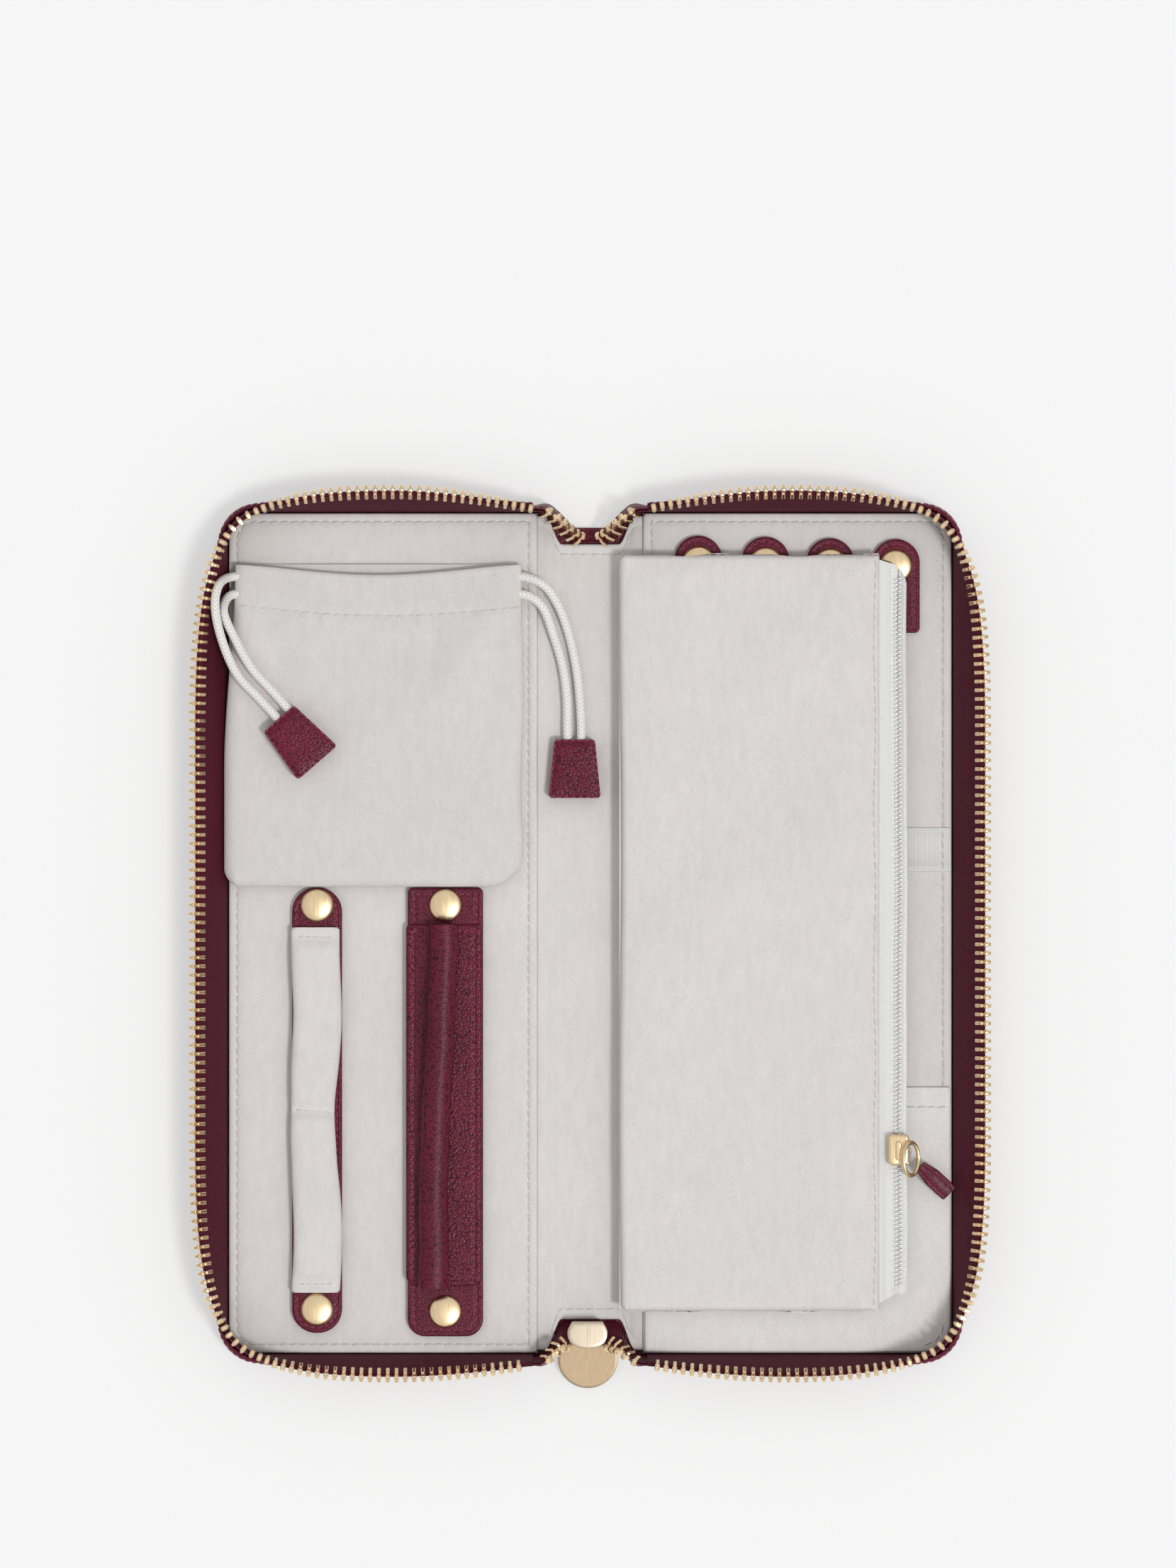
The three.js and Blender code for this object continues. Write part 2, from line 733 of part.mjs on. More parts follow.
function addRingBar() {
  const bottom = liningTop + barStudHeight;
  const top = bottom + strapThickness;
  const half = ringBarWidth / 2;
  const strap = roundedRectangle(ringBarX - half, ringBarX + half, ringBarBottom, barTop, half - 0.3);
  add("ring_bar_strap", "leather", slab(strap, bottom, top, 5));
  const shares = across(0, 1, 10);
  const plan = (share) => [
    ringBarX + sleeveWave * Math.sin(share * 3 * Math.PI),
    THREE.MathUtils.lerp(sleeveTop, sleeveBottom, share),
    half - sleeveInset - sleeveWave * Math.sin(share * 5 * Math.PI) ** 2,
  ];
  add("ring_bar_sleeve", "velvet", softRun(shares, plan, sleeveHeight, top, 9));
  add("ring_bar_stud", "satinGold", stud(ringBarX, barStudUpper, barStudHeight));
  add("ring_bar_cap_upper", "satinGold", cap(ringBarX, barStudUpper, top));
  add("ring_bar_cap_lower", "satinGold", cap(ringBarX, ringBarLowerCap, top));
}

function addEarringBar() {
  const bottom = liningTop + barStudHeight;
  const top = bottom + strapThickness;
  const half = earringBarWidth / 2;
  const base = roundedRectangle(earringBarX - half, earringBarX + half, barBottom, barTop, 5);
  add("earring_bar_base", "leather", slab(base, bottom, top));
  const panel = roundedRectangle(panelLeft, panelRight, panelBottom, panelTop, [3, 3, 1, 1]);
  add("earring_bar_panel", "leather", slab(panel, top, top + panelThickness));
  const plan = (share) => [
    THREE.MathUtils.lerp(rollTopX, rollBottomX, share),
    THREE.MathUtils.lerp(panelTop, panelBottom - rollOverhang, share),
    (rollWidth + share * rollSpread) / 2,
  ];
  const roll = softRun([0, 0.04, 0.5, 0.96, 1], plan, rollHeight, top + panelThickness, 11);
  add("earring_bar_roll", "leather", roll);
  add("earring_bar_stud", "satinGold", stud(earringBarX, barStudUpper, barStudHeight));
  add("earring_bar_cap_upper", "satinGold", cap(earringBarX, barStudUpper, top));
  add("earring_bar_cap_lower", "satinGold", cap(earringBarX, earringBarLowerCap, top));
}

// The pouch's plan: its left side leans out below the mouth and its lower corners are round.
function pouchPlan(u, v) {
  const y = THREE.MathUtils.lerp(pouchBottom, pouchTop, v ** 1.5);
  const down = pouchTop - y;
  const lean = THREE.MathUtils.smoothstep(down, 0, 60);
  let left = THREE.MathUtils.lerp(pouchLeftAtMouth, pouchLeftBelow, lean);
  let right = pouchRight;
  const up = y - pouchBottom;
  const round = (radius) => (up < radius ? radius - Math.sqrt(radius ** 2 - (radius - up) ** 2) : 0);
  left += round(5);
  right -= round(9);
  return [THREE.MathUtils.lerp(left, right, 0.5 - 0.5 * Math.cos(Math.PI * u)), y];
}

// How full a soft form is over its grid: nothing at the seam, one over most of its middle.
function fullness(u, v, power) {
  return (Math.sin(Math.PI * u) * Math.sin(Math.PI * v)) ** power;
}

function addPouch() {
  const fold = (u, v) => pouchFold * Math.sin(9 * u + 5 * v) * fullness(u, v, 0.6);
  const body = pillow(
    10,
    11,
    pouchPlan,
    (u, v) => pouchSeam + pouchCrown * fullness(u, v, 0.35) + fold(u, v),
    (u, v) => pouchSeam - pouchDepthBelow * fullness(u, v, 0.35),
  );
  const mouth = new THREE.BoxGeometry(
    pouchRight - pouchLeftAtMouth - 2 * mouthInset,
    2 * mouthDepth,
    mouthGap,
  );
  mouth.translate((pouchRight + pouchLeftAtMouth) / 2, pouchTop, pouchSeam);
  add("drawstring_pouch", "velvet", cut(body, mouth));
}

// A cord through chosen points.
function cord(origin, offsets) {
  const section = new THREE.Shape();
  section.absarc(0, 0, cordDiameter / 2, 0, 2 * Math.PI);
  const points = offsets.map((offset) => new THREE.Vector3(...offset).add(origin));
  const path = new THREE.CatmullRomCurve3(points);
  return new THREE.ExtrudeGeometry(section, {
    steps: 14,
    curveSegments: 4,
    extrudePath: path,
    bevelEnabled: false,
  });
}

// A folded leather end on the cords: a tapered block, placed by its turn and the centre of its underside.
function cordEnd(origin, offset, turn) {
  const [narrow, wide, end] = [cordEndHalfAtCords, cordEndHalf, cordEndLength / 2];
  const shape = new THREE.Shape();
  shape.moveTo(-narrow, end);
  shape.lineTo(-wide, -end + 1);
  shape.quadraticCurveTo(-wide, -end, -wide + 1, -end);
  shape.lineTo(wide - 1, -end);
  shape.quadraticCurveTo(wide, -end, wide, -end + 1);
  shape.lineTo(narrow, end);
  const geometry = slab(shape, 0, cordEndThickness, 3);
  const place = new THREE.Vector3(...offset).add(origin);
  return geometry.rotateZ(turn).translate(place.x, place.y, place.z);
}

// Every cord is placed from the pouch's corner at its mouth.
function addCords() {
  const left = new THREE.Vector3(pouchLeftAtMouth, pouchTop, pouchSeam);
  const right = new THREE.Vector3(pouchRight, pouchTop, pouchSeam);
  add(
    "left_cord_outer",
    "cord",
    cord(left, [
      [-1.7, -3.8, 2.1],
      [-4.4, -6, 6.1],
      [-5.5, -10.7, 7.9],
      [-4.4, -19.2, 7.3],
      [0.6, -31.8, 5.3],
      [6.8, -38.7, 5.3],
      [11, -43.2, 5.4],
    ]),
  );
  add(
    "left_cord_inner",
    "cord",
    cord(left, [
      [-1.7, -9.2, 2.7],
      [-3.1, -13.8, 5.5],
      [0.4, -22.2, 5.3],
      [5, -30.2, 5.3],
      [10.2, -36, 5.3],
      [14, -40.2, 5.4],
    ]),
  );
  add("left_cord_end", "leather", cordEnd(left, [18.5, -51.3, 3.7], THREE.MathUtils.degToRad(41)));
  add(
    "right_cord_outer",
    "cord",
    cord(right, [
      [1.5, -3.7, 1.3],
      [6.4, -6.2, 0.7],
      [10.3, -11.7, -1.5],
      [13.3, -19.6, -2.8],
      [15.5, -29.2, -2.8],
      [16.7, -39.1, -2.7],
      [17.1, -50.2, -2.4],
    ]),
  );
  add(
    "right_cord_inner",
    "cord",
    cord(right, [
      [1.5, -8.8, 1.1],
      [5.7, -12.2, -0.1],
      [8.9, -20.3, -2.6],
      [11.7, -29.8, -2.8],
      [12.9, -39.1, -2.7],
      [13.1, -50.2, -2.4],
    ]),
  );
  add("right_cord_end", "leather", cordEnd(right, [15.2, -59.4, spineTop + clearance - pouchSeam], 0));
}

// Right half

function addTabs() {
  tabCentres.forEach((x, i) => {
    const number = i + 1;
    const [head, half] = [tabHeads[i], tabWidth / 2];
    const bottom = liningTop + tabStudHeight;
    const top = bottom + tabThickness;
    const radii = [1.5, 1.5, half - 0.1, half - 0.1];
    const shape = roundedRectangle(x - half, x + half, head - tabLength, head, radii);
    add("necklace_tab_" + number, "leather", slab(shape, bottom, top, 5));
    add("necklace_cap_" + number, "satinGold", cap(x, head - tabCapInset, top));
    add("tab_stud_" + number, "satinGold", stud(x, head - tabCapInset, tabStudHeight));
  });
}

function addBandAndPocket() {
  const left = spineHalfWidth + 2 * clearance;
  const right = footOuter - 2 * liningGap;
  const band = roundedRectangle(left, right, bandBottom, bandTop, 0);
  add("elastic_band", "nylon", slab(band, liningTop, liningTop + bandHeight));
  const low = -footHalfLength + 2 * liningGap;
  const pocket = roundedRectangle(left, right, low, pocketTop, [0, footRadius, 0, 0]);
  const hem = roundedRectangle(left, right, pocketTop - hemDepth, pocketTop, 0);
  const body = slab(pocket, liningTop, liningTop + pocketHeight);
  const lip = slab(hem, liningTop + pocketHeight - 0.3, liningTop + pocketHeight + hemHeight);
  add("slip_pocket", "velvet", join(body, lip));
}

// The page's plan: straight sides with small round corners.
function pagePlan(u, v) {
  const rows = 0.5 - 0.5 * Math.cos(Math.PI * v);
  const y = THREE.MathUtils.lerp(pageFoot, pageHead, rows);
  const inset = (radius) => {
    const near = Math.min(y - pageFoot, pageHead - y);
    return near < radius ? radius - Math.sqrt(radius ** 2 - (radius - near) ** 2) : 0;
  };
  const columns = 0.5 - 0.5 * Math.cos(Math.PI * u);
  return [THREE.MathUtils.lerp(pageLeft + inset(2.5), pageRight - inset(0.8), columns), y];
}

function addPage() {
  add(
    "page_pouch",
    "velvet",
    pillow(
      8,
      12,
      pagePlan,
      (u, v) => pageSeam + pageCrown * fullness(u, v, 0.45),
      (u, v) => pageSeam - (pageSeam - pageUnderside) * fullness(u, v, 0.3),
    ),
  );
  // The hinge strip leans from the upstand on the spine to the seam at the page's left edge.
  const strip = new THREE.Shape();
  const stripTop = pageSeam - clearance;
  const stripFoot = bindingX + 0.5;
  const stripHead = pageLeft - 0.1;
  strip.moveTo(stripFoot - bindingFoot, bindingZ);
  strip.lineTo(stripFoot, bindingZ);
  strip.lineTo(stripFoot, bindingZ + bindingWall);
  strip.lineTo(stripHead + 0.5, stripTop);
  strip.lineTo(stripHead, stripTop);
  strip.lineTo(stripHead, stripTop - bindingWall);
  const binding = slab(strip, -bindingHalf, bindingHalf);
  // Turning the strip's profile upright lays its length along Y.
  binding.rotateX(Math.PI / 2);
  add("page_binding", "velvet", binding);

  const tapeLeft = pageRight + clearance;
  const tapeBottom = pageSeam - nylonTapeThickness / 2;
  const tapeTopside = tapeBottom + nylonTapeThickness;
  const tape = new THREE.Shape();
  tape.moveTo(tapeLeft, pageHead - 0.8);
  tape.lineTo(tapeLeft, pageFoot + 1.6);
  tape.lineTo(nylonTapeRight - 1.4, pageFoot + 4.6);
  tape.lineTo(nylonTapeRight, pageFoot + 6);
  tape.lineTo(nylonTapeRight, pageHead - 1.4);
  add("page_zip_tape", "nylon", slab(tape, tapeBottom, tapeTopside));
  const coil = new THREE.Shape();
  const middle = (coilLeft + coilRight) / 2;
  coil.moveTo(coilLeft, tapeTopside);
  coil.lineTo(coilRight, tapeTopside);
  coil.lineTo(coilRight, tapeTopside + coilHeight * 0.6);
  coil.lineTo(middle + 0.5, tapeTopside + coilHeight);
  coil.lineTo(middle - 0.5, tapeTopside + coilHeight);
  coil.lineTo(coilLeft, tapeTopside + coilHeight * 0.6);
  const coilRun = slab(coil, -(pageHead - 2.5), -(pageFoot + 7));
  add("page_zip_coil", "nylon", coilRun.rotateX(Math.PI / 2));
  addPageSlider(middle, tapeTopside);
}

function addPageSlider(x, tapeTopside) {
  const low = tapeTopside + clearance;
  const roof = tapeTopside + coilHeight + clearance;
  const top = low + pageSliderHeight;
  const [half, throat] = [pageSliderHalf, (coilRight - coilLeft) / 2 + clearance];
  const shape = new THREE.Shape();
  shape.moveTo(x - half, low);
  shape.lineTo(x - throat, low);
  shape.lineTo(x - throat, roof);
  shape.lineTo(x + throat, roof);
  shape.lineTo(x + throat, low);
  shape.lineTo(x + half, low);
  shape.lineTo(x + half, top - 0.6);
  shape.lineTo(x + half - 0.9, top);
  shape.lineTo(x - half + 0.9, top);
  shape.lineTo(x - half, top - 0.6);
  const start = -pageSliderY - pageSliderLength / 2;
  const body = slab(shape, start, start + pageSliderLength);
  add("page_zip_slider", "satinGold", body.rotateX(Math.PI / 2));

  const ring = new THREE.TorusGeometry(ringRadius, ringWire, 5, 16);
  ring.scale(ringWidthShare, ringLengthShare, 1);
  ring.rotateY(THREE.MathUtils.degToRad(45));
  add("page_pull_ring", "satinGold", ring.translate(ringX, ringY, top + 0.1));

  const along = pullEnd.clone().sub(pullStart);
  const strap = new THREE.Shape();
  const [length, pullHalf] = [along.length(), pullWidth / 2];
  strap.moveTo(0, -pullHalf + 0.8);
  strap.lineTo(length - 1, -pullHalf);
  strap.lineTo(length, -pullHalf + 1);
  strap.lineTo(length, pullHalf - 1);
  strap.lineTo(length - 1, pullHalf);
  strap.lineTo(0, pullHalf - 0.8);
  const leather = slab(strap, -pullThickness / 2, pullThickness / 2);
  leather.rotateY(Math.asin(-along.z / length));
  leather.rotateZ(Math.atan2(along.y, along.x));
  add("page_pull_leather", "leather", leather.translate(...pullStart.toArray()));
}

addHalf("left", -1);
addPouch();
addCords();
addRingBar();
addEarringBar();
addSpine();
addHalf("right", 1);
addTabs();
addBandAndPocket();
addPage();

export default group;
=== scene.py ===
"""An open zip-round jewelry roll in burgundy leather and pale velvet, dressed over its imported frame.

All sizes are in millimetres, and each finished mesh is scaled to metres once. +X runs to the half with the
zip pouch, +Y to the head of the roll and +Z up from the table.
"""

from __future__ import annotations

import json
import logging
import math
from bisect import bisect_right
from collections.abc import Callable, Iterable, Sequence
from dataclasses import dataclass
from enum import Enum

import bmesh
import bpy
from mathutils import Matrix, Vector
from mathutils.geometry import interpolate_bezier
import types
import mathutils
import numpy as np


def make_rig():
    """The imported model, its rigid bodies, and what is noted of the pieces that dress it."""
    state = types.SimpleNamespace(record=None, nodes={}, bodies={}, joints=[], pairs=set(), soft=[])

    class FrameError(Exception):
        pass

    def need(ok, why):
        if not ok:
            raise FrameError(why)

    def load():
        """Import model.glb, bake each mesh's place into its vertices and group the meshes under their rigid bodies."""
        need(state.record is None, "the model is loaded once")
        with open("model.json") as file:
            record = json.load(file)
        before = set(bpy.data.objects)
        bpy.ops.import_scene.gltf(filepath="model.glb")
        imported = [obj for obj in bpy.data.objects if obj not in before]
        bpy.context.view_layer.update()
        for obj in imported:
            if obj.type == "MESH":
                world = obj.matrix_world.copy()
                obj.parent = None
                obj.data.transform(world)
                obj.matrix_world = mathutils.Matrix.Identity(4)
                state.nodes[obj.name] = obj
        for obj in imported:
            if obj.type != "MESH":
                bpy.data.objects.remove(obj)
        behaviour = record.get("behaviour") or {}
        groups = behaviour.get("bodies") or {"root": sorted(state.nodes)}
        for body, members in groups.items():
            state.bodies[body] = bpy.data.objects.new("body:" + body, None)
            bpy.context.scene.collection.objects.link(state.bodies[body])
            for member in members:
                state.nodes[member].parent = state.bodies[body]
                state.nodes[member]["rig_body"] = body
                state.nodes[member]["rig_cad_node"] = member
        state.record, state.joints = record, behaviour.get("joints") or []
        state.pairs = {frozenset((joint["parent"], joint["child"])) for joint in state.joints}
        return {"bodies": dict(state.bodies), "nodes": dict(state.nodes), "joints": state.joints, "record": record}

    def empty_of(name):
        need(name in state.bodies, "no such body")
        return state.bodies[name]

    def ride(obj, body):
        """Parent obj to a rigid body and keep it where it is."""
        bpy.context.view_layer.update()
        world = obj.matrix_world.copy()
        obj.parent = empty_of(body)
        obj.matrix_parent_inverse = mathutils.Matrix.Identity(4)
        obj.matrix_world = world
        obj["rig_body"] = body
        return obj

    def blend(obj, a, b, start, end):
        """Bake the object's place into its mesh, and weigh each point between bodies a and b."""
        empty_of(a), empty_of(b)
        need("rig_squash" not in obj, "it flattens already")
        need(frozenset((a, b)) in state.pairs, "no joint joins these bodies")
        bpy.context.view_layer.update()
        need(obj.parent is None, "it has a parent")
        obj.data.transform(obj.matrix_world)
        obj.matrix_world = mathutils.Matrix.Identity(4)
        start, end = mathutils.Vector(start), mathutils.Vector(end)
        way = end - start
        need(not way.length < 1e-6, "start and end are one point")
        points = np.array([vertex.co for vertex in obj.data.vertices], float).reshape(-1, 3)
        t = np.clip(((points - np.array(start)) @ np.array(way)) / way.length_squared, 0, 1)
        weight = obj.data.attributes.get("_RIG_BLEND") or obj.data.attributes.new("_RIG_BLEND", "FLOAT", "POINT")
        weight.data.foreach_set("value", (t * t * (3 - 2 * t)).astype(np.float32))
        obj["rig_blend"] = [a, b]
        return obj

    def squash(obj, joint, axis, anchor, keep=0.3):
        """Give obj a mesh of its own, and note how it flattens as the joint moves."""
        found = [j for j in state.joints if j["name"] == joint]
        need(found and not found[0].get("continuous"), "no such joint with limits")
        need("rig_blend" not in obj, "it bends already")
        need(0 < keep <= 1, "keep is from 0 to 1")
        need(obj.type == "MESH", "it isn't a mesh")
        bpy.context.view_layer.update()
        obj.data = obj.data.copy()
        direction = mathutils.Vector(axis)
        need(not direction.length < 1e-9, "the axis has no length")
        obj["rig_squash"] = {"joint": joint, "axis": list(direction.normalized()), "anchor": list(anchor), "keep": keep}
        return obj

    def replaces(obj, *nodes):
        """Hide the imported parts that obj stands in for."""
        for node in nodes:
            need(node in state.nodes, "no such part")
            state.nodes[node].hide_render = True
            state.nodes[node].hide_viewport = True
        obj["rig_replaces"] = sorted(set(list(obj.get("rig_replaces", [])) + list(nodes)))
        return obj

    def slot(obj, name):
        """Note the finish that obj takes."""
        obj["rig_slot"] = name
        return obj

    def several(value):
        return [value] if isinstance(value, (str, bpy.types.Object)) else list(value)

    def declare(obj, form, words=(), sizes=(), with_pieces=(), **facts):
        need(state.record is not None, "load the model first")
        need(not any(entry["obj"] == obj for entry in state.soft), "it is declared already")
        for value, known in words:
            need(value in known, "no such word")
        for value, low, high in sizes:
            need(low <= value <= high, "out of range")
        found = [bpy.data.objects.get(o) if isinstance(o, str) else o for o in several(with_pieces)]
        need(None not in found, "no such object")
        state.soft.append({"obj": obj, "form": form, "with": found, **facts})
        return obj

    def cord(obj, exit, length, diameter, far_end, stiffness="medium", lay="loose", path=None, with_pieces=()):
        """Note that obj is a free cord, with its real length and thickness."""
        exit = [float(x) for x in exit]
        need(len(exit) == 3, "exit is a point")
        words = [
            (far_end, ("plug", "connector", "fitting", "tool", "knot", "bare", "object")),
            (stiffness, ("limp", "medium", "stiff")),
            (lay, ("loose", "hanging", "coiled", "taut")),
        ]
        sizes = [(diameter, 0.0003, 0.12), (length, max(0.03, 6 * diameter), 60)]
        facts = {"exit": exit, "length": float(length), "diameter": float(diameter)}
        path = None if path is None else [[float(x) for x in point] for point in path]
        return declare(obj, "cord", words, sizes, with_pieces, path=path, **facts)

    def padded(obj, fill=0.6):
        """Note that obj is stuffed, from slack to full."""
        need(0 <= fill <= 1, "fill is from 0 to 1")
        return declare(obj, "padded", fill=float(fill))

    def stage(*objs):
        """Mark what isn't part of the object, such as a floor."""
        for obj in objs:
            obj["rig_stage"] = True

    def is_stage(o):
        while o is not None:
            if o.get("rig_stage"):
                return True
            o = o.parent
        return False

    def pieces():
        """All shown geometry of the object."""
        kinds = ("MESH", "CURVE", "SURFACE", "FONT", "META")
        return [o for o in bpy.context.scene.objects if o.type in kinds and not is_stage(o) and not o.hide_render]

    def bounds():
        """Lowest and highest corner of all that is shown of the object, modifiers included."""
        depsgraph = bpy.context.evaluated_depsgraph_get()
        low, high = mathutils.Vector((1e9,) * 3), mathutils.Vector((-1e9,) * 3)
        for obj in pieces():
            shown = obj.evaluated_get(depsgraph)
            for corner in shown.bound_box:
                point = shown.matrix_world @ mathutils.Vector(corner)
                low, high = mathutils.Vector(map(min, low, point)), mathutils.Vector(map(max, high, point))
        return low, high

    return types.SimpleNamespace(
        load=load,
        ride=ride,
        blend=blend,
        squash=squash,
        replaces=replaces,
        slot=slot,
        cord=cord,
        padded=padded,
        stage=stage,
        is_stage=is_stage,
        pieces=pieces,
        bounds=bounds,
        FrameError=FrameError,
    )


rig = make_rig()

log = logging.getLogger("jewelry_roll")

MM = 0.001
LINING_TOP = 4.2
Colour = tuple[float, float, float]
Spot = tuple[float, float, float]
Profile = Sequence[tuple[float, float]]
Shape = bmesh.types.BMesh
Socket = bpy.types.NodeSocket
Place = Callable[[float, float], Vector]
Amount = Callable[[float, float], float]
UP = Vector((0, 0, 1))


class Side(Enum):
    """The two halves of the roll, by the sign of X."""

    LEFT = -1
    RIGHT = 1

    @property
    def label(self) -> str:
        """The word that begins the half's piece names."""
        return self.name.lower()


class End(Enum):
    """The two ends of the roll, by the sign of Y."""

    FOOT = -1
    HEAD = 1

    @property
    def label(self) -> str:
        """The word that ends the end's piece names."""
        return self.name.lower()


# Numbers


def clamp(value: float, low: float, high: float) -> float:
    """A value kept between two limits."""
    return max(low, min(high, value))


def mix(low: float, high: float, share: float) -> float:
    """The value at a share of the way from low to high."""
    return low + (high - low) * share


def smooth(value: float, low: float, high: float) -> float:
    """A smooth step from 0 at low to 1 at high."""
    share = clamp((value - low) / (high - low), 0, 1)
    return share * share * (3 - 2 * share)


def eased(share: float) -> float:
    """A share spaced closer at both of its ends."""
    return 0.5 - 0.5 * math.cos(math.pi * share)


def rounding(distance: float, reach: float) -> float:
    """The rise of a rounded edge, from 0 on the edge to 1 at a reach inside it."""
    share = 1 - clamp(distance / reach, 0, 1)
    return math.sqrt(max(0.0, 1 - share * share))


def corner_inset(distance: float, radius: float) -> float:
    """How far a round corner pulls a side in, at a distance from the side that meets it there."""
    return radius - math.sqrt(radius**2 - (radius - distance) ** 2) if distance < radius else 0.0


def squared(value: float, power: float) -> float:
    """A sine or cosine whose round is made squarer by a power below 1, with its sign kept."""
    return math.copysign(abs(value) ** power, value)


def hump(value: float, middle: float, reach: float) -> float:
    """A bell of height 1 about a middle."""
    return math.exp(-(((value - middle) / reach) ** 2))


# Runs along a line


class Run:
    """A line through points, measured along its length."""

    def __init__(self, points: Iterable[Vector | Spot], closed: bool = False) -> None:
        """Measures a line.

        Args:
            points: the points, in order.
            closed: whether the last point leads back to the first.
        """
        self.points = [Vector(p) for p in points]
        if closed:
            self.points.append(self.points[0].copy())
        self.marks = [0.0]
        for a, b in zip(self.points, self.points[1:]):
            self.marks.append(self.marks[-1] + (b - a).length)
        self.length = self.marks[-1]

    def at(self, distance: float) -> Vector:
        """The point at a distance along the run.

        Args:
            distance: how far along it, kept between its two ends.

        Returns:
            The point.
        """
        distance = clamp(distance, 0, self.length)
        high = min(bisect_right(self.marks, distance), len(self.marks) - 1)
        low = high - 1
        span = self.marks[high] - self.marks[low]
        share = 0.0 if span < 1e-9 else (distance - self.marks[low]) / span
        return self.points[low].lerp(self.points[high], share)

    def way(self, distance: float, reach: float = 0.4) -> Vector:
        """The direction of the run about a distance along it.

        Args:
            distance: how far along it.
            reach: how far before and behind that place it is measured.

        Returns:
            A vector of length 1.
        """
        a = self.at(max(0.0, distance - reach))
        b = self.at(min(self.length, distance + reach))
        return (b - a).normalized()


def flowing(points: Sequence[Spot], steps: int = 8) -> list[Vector]:
    """A smooth line through chosen points, with the spans weighted by the root of their length.

    Args:
        points: the chosen points.
        steps: how many steps each span takes.

    Returns:
        The line's points.
    """
    line = [Vector(p) for p in points]
    line = [2 * line[0] - line[1], *line, 2 * line[-1] - line[-2]]
    knots = [0.0]
    for a, b in zip(line, line[1:]):
        knots.append(knots[-1] + math.sqrt((b - a).length))
    made = []
    for i in range(1, len(line) - 2):
        for k in range(steps):
            made.append(_flow_point(line, knots, i, mix(knots[i], knots[i + 1], k / steps)))
    made.append(line[-2].copy())
    return made


def _flow_point(line: Sequence[Vector], knots: Sequence[float], i: int, t: float) -> Vector:
    """A point of a Catmull-Rom span.

    Args:
        line: the chosen points, with one more beyond each end.
        knots: the points' values of t.
        i: the point that the span starts at.
        t: where on the span, between its two knots.

    Returns:
        The point.
    """

    def between(a: Vector, b: Vector, low: float, high: float) -> Vector:
        """The point between a at low and b at high."""
        return a.lerp(b, (t - low) / (high - low))

    level = [between(line[k], line[k + 1], knots[k], knots[k + 1]) for k in range(i - 1, i + 2)]
    level = [between(level[k], level[k + 1], knots[i - 1 + k], knots[i + 1 + k]) for k in range(2)]
    return between(level[0], level[1], knots[i], knots[i + 1])


# Plans


@dataclass(frozen=True)
class Plate:
    """A rectangular plan with its own corner radii, and with sides that stay put when it is inset."""

    left: float
    right: float
    low: float
    high: float
    radii: tuple[float, float, float, float] = (1.0, 1.0, 1.0, 1.0)
    fixed: str = ""
    steps: int = 8

    def ring(self, inset: float = 0.0, z: float = 0.0) -> list[Vector]:
        """The plan's outline, moved inwards.

        Args:
            inset: how far every side that isn't fixed moves in.
            z: the height of the ring.

        Returns:
            The same number of points for every inset.
        """
        left = self.left + (0 if "l" in self.fixed else inset)
        right = self.right - (0 if "r" in self.fixed else inset)
        low = self.low + (0 if "b" in self.fixed else inset)
        high = self.high - (0 if "t" in self.fixed else inset)
        corners = [(left, low, 1, 1), (right, low, -1, 1), (right, high, -1, -1), (left, high, 1, -1)]
        made = []
        for k, ((x, y, dx, dy), radius) in enumerate(zip(corners, self.radii)):
            kept = max(radius - inset, 0.02) if radius > 0 else 0.0
            start = math.pi + k * math.pi / 2
            for i in range(self.steps + 1):
                turn = start + i / self.steps * math.pi / 2
                here = (x + dx * kept + kept * math.cos(turn), y + dy * kept + kept * math.sin(turn), z)
                made.append(Vector(here))
        return made


@dataclass(frozen=True)
class Outline:
    """A plan through any points, anticlockwise, which is inset by moving each corner along its mitre."""

    points: tuple[tuple[float, float], ...]

    def ring(self, inset: float = 0.0, z: float = 0.0) -> list[Vector]:
        """The outline, moved inwards.

        Args:
            inset: how far it moves in.
            z: the height of the ring.

        Returns:
            One point for each corner.
        """
        made = []
        count = len(self.points)
        for i, point in enumerate(self.points):
            here = Vector(point)
            back = (here - Vector(self.points[i - 1])).normalized()
            ahead = (Vector(self.points[(i + 1) % count]) - here).normalized()
            normal = Vector((-back.y - ahead.y, back.x + ahead.x)) / (1 + back.dot(ahead))
            moved = here + normal * inset
            made.append(Vector((moved.x, moved.y, z)))
        return made


@dataclass(frozen=True)
class Block:
    """A plan with any corners, anticlockwise, each rounded by one radius."""

    corners: tuple[tuple[float, float], ...]
    radius: float
    steps: int = 6

    def ring(self, inset: float = 0.0, z: float = 0.0) -> list[Vector]:
        """The plan's outline, moved inwards.

        Args:
            inset: how far it moves in.
            z: the height of the ring.

        Returns:
            The same number of points for every inset.
        """
        sharp = Outline(self.corners).ring(inset, z)
        kept = max(self.radius - inset, 0.05)
        made = []
        for i, here in enumerate(sharp):
            back = (sharp[i - 1] - here).normalized()
            ahead = (sharp[(i + 1) % len(sharp)] - here).normalized()
            half = back.angle(ahead) / 2
            centre = here + (back + ahead).normalized() * kept / math.sin(half)
            start = here + back * kept / math.tan(half) - centre
            end = here + ahead * kept / math.tan(half) - centre
            made += [centre + start.slerp(end, k / self.steps) for k in range(self.steps + 1)]
        return made


# Meshes


